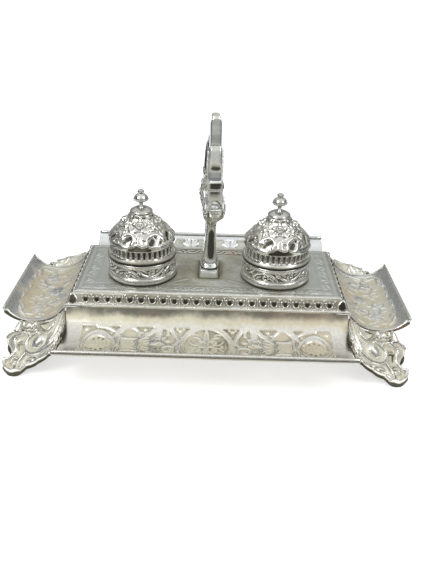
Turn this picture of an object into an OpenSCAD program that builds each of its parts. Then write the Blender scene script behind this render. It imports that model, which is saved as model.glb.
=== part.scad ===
/* [Platform] */
// Length of the platform's top plate
plate_w = 197.6; // [160:0.4:240]
// Depth of the platform's top plate
plate_d = 82.3; // [70:0.1:100]
// Height of the platform's top above the table
platform_z = 46; // [40:0.5:55]
// Thickness of the platform's top plate
plate_t = 1.2; // [0.8:0.1:2]
// How far the moulding stands out from the frame
moulding_out = 8.4; // [6:0.2:12]
// How far the moulding reaches below the platform's top
moulding_drop = 10; // [8:0.5:12]
// Distance between two eggs of the moulding
egg_pitch = 8.3; // [7:0.1:10]
// Radius of an egg of the moulding
egg_r = 2.3; // [1.5:0.1:2.6]

/* [Trays] */
// Half the length of the front and rear trays
tray_half = 105.2; // [80:0.2:105.2]
// Distance from the object's middle to the front lip
tray_reach = 106.5; // [95:0.5:115]
// Half the length of the left and right trays
wing_half = 47.4; // [40:0.2:47.4]
// Distance from the object's middle to the side lip
wing_reach = 153.8; // [140:0.2:165]
// How far a tray sags below its two edges
tray_sag = 12; // [8:0.5:14]
// Thickness of the tray sheet
sheet_t = 1.2; // [0.8:0.1:1.6]
// Radius of the rolled lip of the front and rear trays
lip_r = 1.6; // [1:0.1:2.2]
// Radius of the beaded lip of the side trays
wing_lip_r = 0.9; // [0.6:0.1:1.4]
// Height of the lips above the table
lip_z = 33.3; // [31:0.1:35]

/* [Feet] */
// Direction of the feet, measured from the long axis
foot_angle = 53; // [50:1:56]
// Radius of the oval boss on a foot
foot_boss_r = 6.5; // [5:0.5:7]
// Radius of the scroll on a foot
foot_scroll_r = 6; // [4:0.5:6.5]

/* [Wells] */
// Distance from the middle to the axis of a well
well_x = 52.3; // [45:0.1:60]
// Distance of the wells in front of the middle line
well_y = 7.5; // [4:0.5:9]
// Outer radius of a well
well_r = 27; // [25:0.5:28]
// Height of the fixed drum above the platform
drum_h = 16.6; // [15:0.2:18]
// Radius of the glass pot below the platform
liner_r = 19.5; // [17:0.5:19.5]
// Depth of the glass pot below the platform
liner_drop = 24; // [20:1:28]
// Height of the lid's straight neck
neck_h = 10.4; // [10:0.1:11]
// Wall of the lid's crown
lid_wall = 1.5; // [1.2:0.1:1.8]
// How far the chased roses stand up from the dome
rose_rise = 0.9; // [0.5:0.1:1.2]
// How deep the hollows between the leaves are
hollow_depth = 1.3; // [0.5:0.1:1.5]

/* [Hinges] */
// Radius of a hinge knuckle
knuckle_r = 2; // [1.8:0.1:2]
// Radius of a hinge pin
pin_r = 0.9; // [0.8:0.05:1]
// Half the length of a hinge
hinge_half = 8; // [6:0.5:10]
// Half the length of the lid's knuckle
lid_knuckle_half = 4; // [3:0.5:5]
// Radial clearance of a pin in its knuckles
pin_gap = 0.05; // [0.03:0.01:0.08]

/* [Handle] */
// Height of the whole inkstand
handle_top = 171; // [168:1:174]
// Width of the handle's base block
block_w = 15; // [13:0.5:17]
// Depth of the handle's base block
block_d = 31; // [28:0.5:36]
// Height of the handle's base block
block_h = 6; // [4:0.5:8]
// Turn of the handle about its stud
handle_turn = 5; // [0:1:8]
// Lean of the loop to the right, for each unit of height
handle_lean = 0.022; // [0:0.001:0.03]
// Radius of the handle's stud
stud_r = 2.5; // [2:0.1:3]

/* [Hidden] */

round_fn = 96;
small_fn = 48;
fit = 0.05;       // assembly gap between two fixed pieces
seam = 0.4;       // gap between a drum and its lid

// Platform: the frame stands just inside the plate's edge
frame_x = plate_w / 2 - 0.8;
frame_y = plate_d / 2 - 0.8;
frame_t = 1.5;
frame_bottom = 29.6;
plate_bottom = platform_z - plate_t;
moulding_bottom = platform_z - moulding_drop;
fillet_x = frame_x + moulding_out;
fillet_y = frame_y + moulding_out;
block_side = 8.4;
leaf_r = 3.6;
leaf_out = 4.6;

// Trays: the inner edge starts just outside the fillet
tray_inner_z = moulding_bottom - fit;
tray_edge_z = tray_inner_z - 0.5;
bowl_power = 2.7;
bowl_steps = 22;
mitre_gap = 0.15;
wing_w = wing_reach - wing_lip_r - fillet_x;

// Feet
foot_x0 = tray_half + 0.4;
foot_y0 = wing_half + 0.7;
lug_z = 25;
lug_t = 4.5;
lug_half = 3.5;
lug_reach = 19;
foot_screw_x = frame_x - frame_t - block_side / 2;
foot_screw_y = frame_y - frame_t - block_side / 2;
foot_screw_r = 1.5;
sight_angle = 29;

// Wells
drum_wall_r = well_r - 1.3;
lid_in_r = well_r - 4.2;
drum_in_r = well_r - 3.1;
drum_top = platform_z + drum_h;
plate_hole_r = liner_r + 0.5;
drum_screw_r = 0.9;
drum_screw_ring = (well_r + drum_in_r) / 2 + 0.1;
lid_z = drum_top + seam;
band_r = well_r - 2.6;
lid_side_wall = 1.9;
finial_bore_r = 1.6;
collar_h = 2.5;

// Outer line of the dome, from its tucked lower edge up to the crown: radius, height in the lid
dome_line = [
    [well_r - 2.2, neck_h], [well_r - 1.3, neck_h + 0.6], [well_r - 0.8, neck_h + 1.8],
    [well_r - 0.9, neck_h + 3.2], [well_r - 2, neck_h + 5.2], [well_r - 4.2, neck_h + 7.8],
    [well_r - 6.6, neck_h + 10.4],
    [well_r - 9.6, neck_h + 13.2], [well_r - 12.8, neck_h + 15.8], [well_r - 15.2, neck_h + 18],
    [well_r - 16.8, neck_h + 20], [well_r - 17.6, neck_h + 21.6], [well_r - 18.4, neck_h + 22.9],
    [well_r - 19.2, neck_h + 23.6]
];
crown_h = neck_h + 23.6;
crown_z = lid_z + crown_h;
lining_from = 5;  // the lining follows the dome from this point of its line

// Chasing on the dome: radius from the axis, height in the lid, lean from upright, radius of the form
rose = [12.9, 27.3, 41, 5.8];
small_rose = [13.8, 26.5, 41, 3.9];
leaf_boss = [22.4, 18.7, 50, 2.6];
hollow = [21.2, 19.9, 50, 5];
petals = 5;
petal_r = 1.9;

// Hinges: the axis runs along X behind each well, level with the seam
hinge_y = -well_y + well_r + knuckle_r + 0.25;
hinge_z = drum_top + seam / 2;
knuckle_gap = 0.15;

// Handle
block_top = platform_z + block_h;

// ---- Platform ------------------------------------------------------------

module at_wells(side) translate([side * well_x, -well_y, 0]) children();

module at_corners() for (sx = [-1, 1], sy = [-1, 1]) mirror([sx < 0 ? 1 : 0, 0, 0])
    mirror([0, sy > 0 ? 1 : 0, 0]) children();

module platform_top() color("silver") difference() {
    translate([-plate_w / 2, -plate_d / 2, plate_bottom]) cube([plate_w, plate_d, plate_t]);
    for (side = [-1, 1]) at_wells(side) {
        translate([0, 0, plate_bottom - 1]) cylinder(h = plate_t + 2, r = plate_hole_r, $fn = round_fn);
        at_drum_screws() translate([0, 0, plate_bottom - 1])
            cylinder(h = plate_t + 2, r = drum_screw_r + 0.1, $fn = small_fn);
    }
    translate([0, 0, plate_bottom - 1]) cylinder(h = plate_t + 2, r = stud_r + 0.1, $fn = small_fn);
}

module platform_frame() color("darkkhaki") difference() {
    translate([-frame_x, -frame_y, frame_bottom])
        cube([2 * frame_x, 2 * frame_y, plate_bottom - frame_bottom]);
    translate([-frame_x + frame_t, -frame_y + frame_t, frame_bottom - 1])
        cube([2 * (frame_x - frame_t), 2 * (frame_y - frame_t), platform_z]);
}

module corner_blocks() color("goldenrod") at_corners() difference() {
    translate([foot_screw_x - block_side / 2, -foot_screw_y - block_side / 2, frame_bottom])
        cube([block_side - fit, block_side - fit, plate_bottom - frame_bottom - fit]);
    translate([foot_screw_x, -foot_screw_y, frame_bottom - 1])
        cylinder(h = 13.4, r = foot_screw_r + fit, $fn = small_fn);
}

// Section of the moulding: u runs outwards from the frame, v is the height
module moulding_section() polygon([
    [fit, moulding_bottom], [fit, plate_bottom - fit], [0.8 + fit, plate_bottom - fit],
    [0.8 + fit, platform_z], [1.9, platform_z], [2.5, platform_z - 0.6], [2.5, platform_z - 1.4],
    [3.1, platform_z - 2.2], [6, platform_z - 7.8], [6.6, platform_z - 8.4],
    [moulding_out - 0.4, platform_z - 8.6], [moulding_out, platform_z - 9],
    [moulding_out, moulding_bottom]
]);

// One moulding in front of a frame face at y = -face, mitred for a half length of half
module moulding(half, face, eggs) difference() {
    union() {
        intersection() {
            translate([0, -face, 0]) rotate([90, 0, -90])
                linear_extrude(height = 2 * (half + moulding_out), center = true) moulding_section();
            linear_extrude(height = 2 * platform_z) polygon([
                [-half, -face], [half, -face],
                [half + moulding_out, -face - moulding_out], [-half - moulding_out, -face - moulding_out]
            ]);
        }
        for (i = [0 : eggs - 1]) translate([(i - (eggs - 1) / 2) * egg_pitch, -face - 4.1, platform_z - 5])
            sphere(r = egg_r, $fn = small_fn);
    }
    for (side = [-1, 1]) translate([side * (half + leaf_out), -face - leaf_out, platform_z - 5])
        sphere(r = leaf_r + fit, $fn = small_fn);
}

module moulding_front() color("silver") moulding(frame_x, frame_y, 23);
module moulding_rear() color("silver") rotate([0, 0, 180]) moulding(frame_x, frame_y, 23);
module moulding_left() color("silver") rotate([0, 0, -90]) moulding(frame_y, frame_x, 9);
module moulding_right() color("silver") rotate([0, 0, 90]) moulding(frame_y, frame_x, 9);

// A rounded leaf boss closes each mitre
module corner_leaves() color("gainsboro") at_corners()
    translate([frame_x + leaf_out, -frame_y - leaf_out, platform_z - 5]) sphere(r = leaf_r, $fn = small_fn);

// ---- Trays ---------------------------------------------------------------

function bowl(t, w, z_out) = [
    w * t,
    tray_edge_z + (z_out - tray_edge_z) * t - tray_sag * (1 - pow(abs(2 * t - 1), bowl_power))
];
function bowl_normal(t, w, z_out) =
    let (d = bowl(min(t + 0.01, 1), w, z_out) - bowl(max(t - 0.01, 0), w, z_out))
    [-d[1], d[0]] / norm(d);

// Section of a tray: u runs outwards from the fillet to the middle of the lip
module tray_section(w, roll) {
    ts = [for (i = [0 : bowl_steps]) i / bowl_steps];
    z_out = lip_z - roll;
    polygon(concat(
        [for (t = ts) bowl(t, w, z_out)],
        [for (i = [bowl_steps : -1 : 0]) bowl(ts[i], w, z_out) - sheet_t * bowl_normal(ts[i], w, z_out)]
    ));
    translate([w, z_out]) circle(r = roll, $fn = small_fn);
}

// The flange under the moulding is mitred in plan against its neighbours
module tray_flange(half, face, end) translate([0, 0, tray_inner_z - sheet_t]) linear_extrude(height = sheet_t)
    polygon([
        [-half + mitre_gap, -face - fit], [half - mitre_gap, -face - fit],
        [end, -face - end + half - mitre_gap], [end, -face - moulding_out - 0.9],
        [-end, -face - moulding_out - 0.9], [-end, -face - end + half - mitre_gap]
    ]);

module tray(half, w, roll) rotate([90, 0, -90]) linear_extrude(height = 2 * half, center = true)
    tray_section(w, roll);

module long_tray() {
    translate([0, -fillet_y, 0]) tray(tray_half, tray_reach - lip_r - fillet_y, lip_r);
    tray_flange(frame_x, frame_y, tray_half);
}

module short_tray() {
    translate([0, -fillet_x, 0]) tray(wing_half, wing_w, wing_lip_r);
    tray_flange(frame_y, frame_x, wing_half);
}

module front_tray() color("lightgray") long_tray();
module rear_tray() color("lightgray") rotate([0, 0, 180]) long_tray();
module left_tray() color("lightgray") rotate([0, 0, -90]) short_tray();
module right_tray() color("lightgray") rotate([0, 0, 90]) short_tray();

// ---- Feet ----------------------------------------------------------------

// Plan of a foot: s runs outwards along the foot, q towards the long tray
foot_plan = [
    [0, 4], [7, 9], [15, 15], [20, 16.5], [24, 19], [31, 20], [34, 17.5], [38, 15], [43, 12], [45.5, 8],
    [50, 6.5], [54, 3], [55.6, -2], [55, -8], [52.5, -13.5], [49, -17.5], [45.5, -18], [43.5, -14.8],
    [40.5, -15], [38, -19.5], [37, -25.5], [34.5, -27.6], [30, -26], [24, -27], [17, -25], [0, -8]
];

// Side view of a foot: s runs outwards, v is the height. The back falls from the corner to the toe
foot_back = [
    [-4, 33.2], [3, 32.7], [9, 31], [15, 28.2], [20, 25], [26, 20.8], [32, 15.8], [37, 11.4], [41, 8.2],
    [45, 5.8], [49, 4.6], [53, 3.2], [56, 2.2], [56, 0]
];
// Under side of the thin half beside the long tray, and of the deep half beside the side tray
foot_thin = [
    [45, 0], [43, 2.4], [41, 4.6], [37, 8.2], [32, 12.8], [26, 17.8], [20, 22], [15, 25.2], [9, 28],
    [5, 28.4], [4, lug_z], [-4, lug_z]
];
foot_deep = [
    [44, 0], [41, 2], [37, 4.8], [32, 8.6], [26, 12.8], [20, 16.4], [15, 18.6], [9, 20.4], [5, 21.6],
    [2, lug_z - 1.5], [-4, lug_z]
];
deep_from = 2;   // the deep half starts this far from the foot's middle line

// Local frame of a front right foot: x outwards, y towards the side tray, origin at the fillet's corner
module at_foot() translate([fillet_x, -fillet_y, 0]) rotate([0, 0, -foot_angle]) children();

// Everything above a side tray's edge, rising away from it, so that the foot never hides the tray
module tray_sight() translate([0, -foot_y0, 0]) rotate([90 - sight_angle, 0, 0]) linear_extrude(height = 60)
    polygon(concat(
        [for (i = [0 : bowl_steps]) let (p = bowl(i / bowl_steps, wing_w, lip_z - wing_lip_r))
            [fillet_x + p[0], (p[1] + fit) * cos(sight_angle)]],
        [[wing_reach + 9, lip_z], [wing_reach + 9, 2 * lip_z], [fillet_x, 2 * lip_z]]
    ));

module foot() difference() {
    union() {
        intersection() {
            at_foot() {
                intersection() {
                    linear_extrude(height = platform_z) polygon([for (p = foot_plan) [p[0], -p[1]]]);
                    translate([0, 40, 0]) rotate([90, 0, 0]) {
                        linear_extrude(height = 80) polygon(concat(foot_back, foot_thin));
                        linear_extrude(height = 40 - deep_from) polygon(concat(foot_back, foot_deep));
                    }
                }
                translate([28, -1.5, 16.2]) sphere(r = foot_boss_r, $fn = small_fn);
                translate([23.5, 14.5, 14]) rotate([0, 24, 0]) cylinder(h = 11, r = foot_scroll_r, $fn = small_fn);
                translate([50, 3, 3.2]) sphere(r = 3, $fn = small_fn);
            }
            translate([foot_x0, -foot_y0 - 60, 0]) cube([60, 60, 60]);
        }
        at_foot() translate([-lug_reach, -lug_half, lug_z]) cube([lug_reach + 4, 2 * lug_half, lug_t]);
        translate([foot_screw_x, -foot_screw_y, lug_z]) rotate([0, 0, 90 - foot_angle])
            cylinder(h = lug_t, r = lug_half + 1.5, $fn = small_fn);
    }
    translate([foot_screw_x, -foot_screw_y, lug_z - 1])
        cylinder(h = lug_t + 2, r = foot_screw_r + 0.15, $fn = small_fn);
    tray_sight();
}

module foot_front_right() color("silver") foot();
module foot_front_left() color("silver") mirror([1, 0, 0]) foot();
module foot_rear_right() color("silver") mirror([0, 1, 0]) foot();
module foot_rear_left() color("silver") mirror([1, 0, 0]) mirror([0, 1, 0]) foot();

module foot_screws() color("dimgray") at_corners()
    translate([foot_screw_x, -foot_screw_y, 0]) screw(foot_screw_r, lug_z - fit, 15, 2.9, 1.8);

// A round headed screw driven upwards: the head's upper face is at height z
module screw(r, z, length, head_r, head_h) difference() {
    union() {
        translate([0, 0, z - 0.1]) cylinder(h = length + 0.1, r = r, $fn = small_fn);
        translate([0, 0, z - head_h]) cylinder(h = head_h, r = head_r, $fn = small_fn);
    }
    translate([-head_r, -r * 0.25, z - head_h - 1]) cube([2 * head_r, r * 0.5, 1 + head_h * 0.45]);
}

// ---- Handle --------------------------------------------------------------

module handle_block() color("silver") difference() {
    translate([-block_w / 2, -block_d / 2, platform_z]) cube([block_w, block_d, block_h]);
    translate([0, 0, platform_z - 1]) cylinder(h = block_h + 2, r = stud_r + 0.1, $fn = small_fn);
}

// Side view of the handle: half depth and height above the table
handle_side = [
    [13, 0], [13, 1.6], [10.4, 3.6], [8.8, 8], [7.6, 16], [6.7, 25], [6.2, 34], [8, 37], [14, 40.5],
    [20, 44], [24, 49], [25, 54], [24, 60], [22.4, 64], [23.4, 65.5], [23.4, 69.5], [21.6, 71],
    [21, 75], [18.5, 82], [15.5, 89], [12.8, 95], [11.2, 98], [12, 99.5], [9.8, 106], [7.5, 112],
    [6, 116.5], [4.5, 119]
];
// Finger opening: half depth and height
handle_gap = [
    [0, 47], [8, 48], [14, 51], [16.5, 55], [15.8, 61], [13.8, 69], [11, 78], [8, 87], [5, 95],
    [2, 101], [0, 103]
];
// Front view of the handle: half width and height
handle_front = [
    [7.4, 0], [7.4, 1.6], [6.3, 4], [5.2, 10], [4.5, 20], [4.1, 32], [4.3, 36], [5.6, 40], [7.4, 45],
    [8.2, 51], [7.8, 58], [6, 64], [6.3, 65.5], [6.3, 69.5], [5.6, 71], [5.6, 98], [4.9, 98.6],
    [4.9, 116.5], [4, 119]
];

function mirrored(half) = concat(half, [for (i = [len(half) - 1 : -1 : 0]) [-half[i][0], half[i][1]]]);
function leaning(points) = [for (p = points) [p[0] + handle_lean * max(p[1] - 4, 0), p[1]]];
function scaled_up(points) = [for (p = points) [p[0], p[1] * (handle_top - block_top) / 119]];

module handle() color("silver") translate([0, 0, block_top + fit]) rotate([0, 0, handle_turn]) difference() {
    intersection() {
        rotate([90, 0, 90]) linear_extrude(height = 40, center = true) difference() {
            polygon(scaled_up(mirrored(handle_side)));
            polygon(scaled_up(mirrored(handle_gap)));
        }
        rotate([90, 0, 0]) linear_extrude(height = 60, center = true)
            polygon(leaning(scaled_up(mirrored(handle_front))));
    }
    translate([0, 0, -1]) cylinder(h = 15, r = stud_r + fit, $fn = small_fn);
}

module handle_stud() color("dimgray") translate([0, 0, plate_bottom - 5])
    cylinder(h = plate_t + block_h + 17, r = stud_r, $fn = small_fn);

module handle_washer() color("goldenrod") difference() {
    translate([0, 0, plate_bottom - 1 - fit]) cylinder(h = 1, r = 6.5, $fn = small_fn);
    translate([0, 0, plate_bottom - 3]) cylinder(h = 5, r = stud_r + 0.1, $fn = small_fn);
}

module handle_nut() color("goldenrod") difference() {
    translate([0, 0, plate_bottom - 4.4]) cylinder(h = 3.4 - 2 * fit, r = 5, $fn = 6);
    translate([0, 0, plate_bottom - 6]) cylinder(h = 8, r = stud_r + fit, $fn = small_fn);
}

// ---- Wells ---------------------------------------------------------------

module at_drum_screws() for (a = [30, 150, 270])
    rotate([0, 0, a]) translate([drum_screw_ring, 0, 0]) children();

module drum() difference() {
    rotate_extrude($fn = round_fn) translate([0, platform_z]) polygon([
        [drum_in_r, fit], [well_r - 0.3, fit], [well_r, 0.6], [well_r, 1.8], [well_r - 0.5, 4],
        [well_r, 4.6], [well_r, 5.2], [well_r - 0.5, 5.7], [drum_wall_r, 6], [drum_wall_r, drum_h - 2.6],
        [well_r - 0.6, drum_h - 2.2], [well_r - 0.3, drum_h - 1.6], [well_r - 0.3, drum_h - 0.5],
        [well_r - 0.7, drum_h], [drum_in_r, drum_h]
    ]);
    at_drum_screws() translate([0, 0, platform_z - 1])
        cylinder(h = 6, r = drum_screw_r + fit, $fn = small_fn);
}

module left_drum() color("silver") at_wells(-1) drum();
module right_drum() color("silver") at_wells(1) drum();

module drum_screws() color("dimgray") for (side = [-1, 1]) at_wells(side) at_drum_screws()
    screw(drum_screw_r, plate_bottom - fit, 5.5, 1.8, 1.2);

// A pressed glass pot whose flange hangs on the edge of the hole
module liner() color("lightcyan", 0.6) rotate_extrude($fn = round_fn) translate([0, platform_z]) polygon([
    [0, -liner_drop], [liner_r - 2, -liner_drop], [liner_r, 2 - liner_drop], [liner_r, 2 * fit],
    [drum_in_r - 0.4, 2 * fit], [drum_in_r - 0.4, 2.2], [liner_r, 3], [liner_r, 13.6], [liner_r - 0.6, 14.2],
    [liner_r - 3.6, 14.2], [liner_r - 4.2, 13.6], [liner_r - 4.2, 9], [liner_r - 3, 7],
    [liner_r - 3, 6 - liner_drop], [liner_r - 5, 4 - liner_drop], [0, 4 - liner_drop]
]);

module left_liner() at_wells(-1) liner();
module right_liner() at_wells(1) liner();

// ---- Lids ----------------------------------------------------------------

// Turned shell: neck and dome outside, a smooth lining inside
module lid_shell() rotate_extrude($fn = round_fn) polygon(concat(
    [[lid_in_r, 0], [well_r - 0.7, 0], [well_r - 0.3, 0.5], [well_r - 0.3, 1.8], [well_r - 0.9, 2.4]],
    [[well_r - 1.6, 2.9], [band_r, 4.4], [band_r, neck_h - 1.2], [band_r + 0.2, neck_h - 0.4]],
    dome_line,
    [[finial_bore_r, crown_h], [finial_bore_r, crown_h - lid_wall]],
    [for (i = [len(dome_line) - 1 : -1 : lining_from]) dome_line[i] - [lid_side_wall, lid_wall]],
    [[lid_in_r, neck_h + 2.4]]
));

// Puts a form on the dome: z points straight out of the dome's surface
module on_dome(turn, form) rotate([0, 0, turn]) translate([0, -form[0], form[1]])
    rotate([form[2], 0, 0]) children();

// A rose: a flat disc with a round button
module rose_form(turn, form) on_dome(turn, form) {
    translate([0, 0, -1.5]) cylinder(h = 1.5 + rose_rise, r = form[3], $fn = small_fn);
    translate([0, 0, rose_rise - 0.4]) sphere(r = form[3] * 0.36, $fn = small_fn);
}

// Four large and four small roses over leaf bosses, with a deep hollow between every two of them
module lid() translate([0, 0, lid_z]) difference() {
    union() {
        lid_shell();
        for (turn = [0 : 90 : 270]) {
            rose_form(turn, rose);
            rose_form(turn + 45, small_rose);
            on_dome(turn, rose) for (i = [0 : petals - 1]) rotate([0, 0, i * 360 / petals])
                translate([0, rose[3] - petal_r, rose_rise - 0.8]) sphere(r = petal_r, $fn = small_fn);
        }
        for (turn = [0 : 45 : 315]) on_dome(turn, leaf_boss) translate([0, 0, rose_rise - leaf_boss[3]])
            sphere(r = leaf_boss[3], $fn = small_fn);
    }
    for (turn = [0 : 45 : 315]) on_dome(turn + 22.5, hollow)
        translate([0, 0, hollow[3] - hollow_depth]) sphere(r = hollow[3], $fn = small_fn);
}

module left_lid() color("silver") at_wells(-1) lid();
module right_lid() color("silver") at_wells(1) lid();

// Domed collar under the finial, sunk round its shank
module collar() translate([0, 0, crown_z + fit]) rotate_extrude($fn = round_fn) polygon([
    [finial_bore_r, 0], [7.7, 0], [8.6, 0.4], [8.7, 0.9], [8.2, 1.6], [7.2, 2.3], [5.9, 3], [4.6, 3.6],
    [3.8, 3.7], [3.1, 3.3], [2.7, collar_h], [finial_bore_r, collar_h]
]);

module left_collar() color("silver") at_wells(-1) collar();
module right_collar() color("silver") at_wells(1) collar();

// Turned knob with its own threaded shank
module finial() translate([0, 0, crown_z + collar_h + 2 * fit]) rotate_extrude($fn = small_fn) polygon([
    [0, -8.1], [finial_bore_r - 0.1, -8.1], [finial_bore_r - 0.1, 0], [2.3, 0], [2.1, 0.8], [1.5, 1.6],
    [1.3, 3.2], [1.6, 4.6], [2.6, 5.4], [4.6, 6.3], [5.5, 7], [5.7, 7.7], [5.6, 8.3], [5.1, 9.4], [4.2, 10.5],
    [2.9, 11.5], [2, 12], [1.9, 12.4], [2.4, 12.9], [2.6, 13.5], [2.3, 14.2], [1.4, 14.7], [0, 14.9]
]);

module left_finial() color("silver") at_wells(-1) finial();
module right_finial() color("silver") at_wells(1) finial();

module finial_nut() translate([0, 0, crown_z - lid_wall - 2.6]) difference() {
    cylinder(h = 2.6 - fit, r = 3.4, $fn = 6);
    translate([0, 0, -1]) cylinder(h = 5, r = finial_bore_r - fit, $fn = small_fn);
}

module left_finial_nut() color("goldenrod") at_wells(-1) finial_nut();
module right_finial_nut() color("goldenrod") at_wells(1) finial_nut();

// ---- Hinges --------------------------------------------------------------

module along_x(half, r) rotate([0, 90, 0]) cylinder(h = 2 * half, r = r, center = true, $fn = small_fn);

module at_hinge(side) translate([side * well_x, hinge_y, hinge_z]) children();

// Fixed leaf: two knuckles on a bracket behind the drum
module hinge_leaf(side) color("silver") difference() {
    at_hinge(side) {
        along_x(hinge_half, knuckle_r);
        translate([-hinge_half, -5.2, -7.4]) cube([2 * hinge_half, 5.2 + knuckle_r, 6.2]);
    }
    at_hinge(side) {
        along_x(lid_knuckle_half + knuckle_gap, knuckle_r + 0.3);
        along_x(hinge_half + 1, pin_r + pin_gap);
    }
    at_wells(side) {
        translate([0, 0, platform_z]) cylinder(h = drum_h, r = drum_wall_r + fit, $fn = round_fn);
        translate([0, 0, drum_top - 2.7]) cylinder(h = 12, r = well_r - 0.2, $fn = round_fn);
    }
}

module left_hinge_leaf() hinge_leaf(-1);
module right_hinge_leaf() hinge_leaf(1);

// Moving leaf: one knuckle on a tab behind the lid's band
module lid_leaf(side) color("silver") difference() {
    at_hinge(side) {
        along_x(lid_knuckle_half, knuckle_r);
        translate([-lid_knuckle_half, -6, 0.6]) cube([2 * lid_knuckle_half, 6, 8]);
    }
    at_hinge(side) along_x(hinge_half + 1, pin_r + pin_gap);
    at_wells(side) {
        translate([0, 0, lid_z - 2]) cylinder(h = neck_h + 1.2, r = band_r + fit, $fn = round_fn);
        translate([0, 0, lid_z - 6]) cylinder(h = 9, r = well_r - 0.2, $fn = round_fn);
        translate([0, 0, lid_z + 2.9]) cylinder(h = 1.6, r1 = well_r - 1.5, r2 = band_r + fit, $fn = round_fn);
    }
}

module left_lid_leaf() lid_leaf(-1);
module right_lid_leaf() lid_leaf(1);

module left_hinge_pin() color("goldenrod") at_hinge(-1) along_x(hinge_half + 0.4, pin_r);
module right_hinge_pin() color("goldenrod") at_hinge(1) along_x(hinge_half + 0.4, pin_r);

// ---- Drawing -------------------------------------------------------------

platform_top();
platform_frame();
corner_blocks();
moulding_front();
moulding_rear();
moulding_left();
moulding_right();
corner_leaves();
front_tray();
rear_tray();
left_tray();
right_tray();
foot_front_left();
foot_front_right();
foot_rear_left();
foot_rear_right();
foot_screws();
handle_block();
handle();
handle_stud();
handle_washer();
handle_nut();
left_drum();
right_drum();
drum_screws();
left_liner();
right_liner();
left_hinge_leaf();
right_hinge_leaf();
left_hinge_pin();
right_hinge_pin();
left_lid();
right_lid();
left_lid_leaf();
right_lid_leaf();
left_collar();
right_collar();
left_finial();
right_finial();
left_finial_nut();
right_finial_nut();
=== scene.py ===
import math

import bmesh
import bpy
import numpy as np
from mathutils import Matrix, Vector


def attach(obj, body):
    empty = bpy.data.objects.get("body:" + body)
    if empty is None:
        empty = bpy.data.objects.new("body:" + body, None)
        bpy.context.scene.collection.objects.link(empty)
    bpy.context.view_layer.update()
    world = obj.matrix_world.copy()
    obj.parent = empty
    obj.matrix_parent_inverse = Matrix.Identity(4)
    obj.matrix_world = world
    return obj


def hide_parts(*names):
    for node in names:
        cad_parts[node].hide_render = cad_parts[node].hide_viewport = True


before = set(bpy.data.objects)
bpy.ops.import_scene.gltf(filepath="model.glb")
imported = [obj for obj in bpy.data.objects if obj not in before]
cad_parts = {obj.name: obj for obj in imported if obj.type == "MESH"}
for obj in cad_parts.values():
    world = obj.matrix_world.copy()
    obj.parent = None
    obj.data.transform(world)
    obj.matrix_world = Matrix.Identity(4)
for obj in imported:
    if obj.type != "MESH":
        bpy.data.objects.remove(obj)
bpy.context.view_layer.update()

# ---- Table, lamps and camera ----------------------------------------------------------
# The inkstand stands on a white sheet of paper in a white room. A grey cloth hangs all round at
# some height, boards stand beside it and dark sheets lie round it, for the metal to mirror.
MM = 0.001
VIEW_PIXELS, FOCAL_PIXELS = 576, 674.2
SENSOR_MM = 24.0
CAMERA_AT = Vector((4.9, -487.6, 283.2)) * MM
CAMERA_YAW, CAMERA_PITCH, CAMERA_ROLL = (math.radians(a) for a in (0.14, 27.5, 1.71))

ahead = Vector((math.sin(CAMERA_YAW) * math.cos(CAMERA_PITCH),
                math.cos(CAMERA_YAW) * math.cos(CAMERA_PITCH), -math.sin(CAMERA_PITCH)))
level = Vector((math.cos(CAMERA_YAW), -math.sin(CAMERA_YAW), 0))
upward = level.cross(ahead)
across = level * math.cos(CAMERA_ROLL) + upward * math.sin(CAMERA_ROLL)
upright = upward * math.cos(CAMERA_ROLL) - level * math.sin(CAMERA_ROLL)
turn = Matrix((across, upright, -ahead)).transposed()


def placed(name, data):
    """A new object in the scene."""
    made = bpy.data.objects.new(name, data)
    bpy.context.scene.collection.objects.link(made)
    return made


camera = placed("camera", bpy.data.cameras.new("camera"))
camera.matrix_world = Matrix.Translation(CAMERA_AT) @ turn.to_4x4()
camera.data.sensor_fit = "VERTICAL"
camera.data.sensor_height = SENSOR_MM
camera.data.lens = FOCAL_PIXELS * SENSOR_MM / VIEW_PIXELS
camera.data.clip_start = 0.01
bpy.context.scene.camera = camera
bpy.context.scene.view_settings.view_transform = "Standard"


def feed(tree, made, inputs):
    """Gives a node's inputs, by name or number, a socket to link from or a plain value."""
    for key, value in inputs.items():
        socket = made.inputs[key.replace("_", " ") if isinstance(key, str) else key]
        if isinstance(value, bpy.types.NodeSocket):
            tree.links.new(value, socket)
        else:
            socket.default_value = value


def node(tree, kind, numbered=(), **values):
    """One node. A value whose name has a capital is an input, any other is a setting."""
    made = tree.nodes.new(kind)
    for name, value in values.items():
        if not name[0].isupper():
            setattr(made, name, value)
    feed(tree, made, dict(enumerate(numbered)))
    feed(tree, made, {name: value for name, value in values.items() if name[0].isupper()})
    return made


def combine(tree, operation, *terms, **settings):
    """The result of one step of arithmetic on sockets or numbers."""
    return node(tree, "ShaderNodeMath", terms, operation=operation, **settings).outputs[0]


def remap(tree, value, low=0.0, high=1.0, start=0.0, end=1.0, kind="LINEAR"):
    """Carries low to high over to start to end."""
    return node(tree, "ShaderNodeMapRange", interpolation_type=kind, Value=value, From_Min=low, From_Max=high,
                To_Min=start, To_Max=end).outputs[0]


def new_material(name):
    """A node material, its tree and its main shader."""
    made = bpy.data.materials.new(name)
    made.use_nodes = True
    return made, made.node_tree, made.node_tree.nodes["Principled BSDF"]


def sees_backdrop(tree):
    """1 where a camera, mirror or glass ray looks at the surface."""
    path = node(tree, "ShaderNodeLightPath").outputs
    either = combine(tree, "MAXIMUM", path["Is Camera Ray"], path["Is Glossy Ray"])
    return combine(tree, "MAXIMUM", either, path["Is Transmission Ray"])


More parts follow.
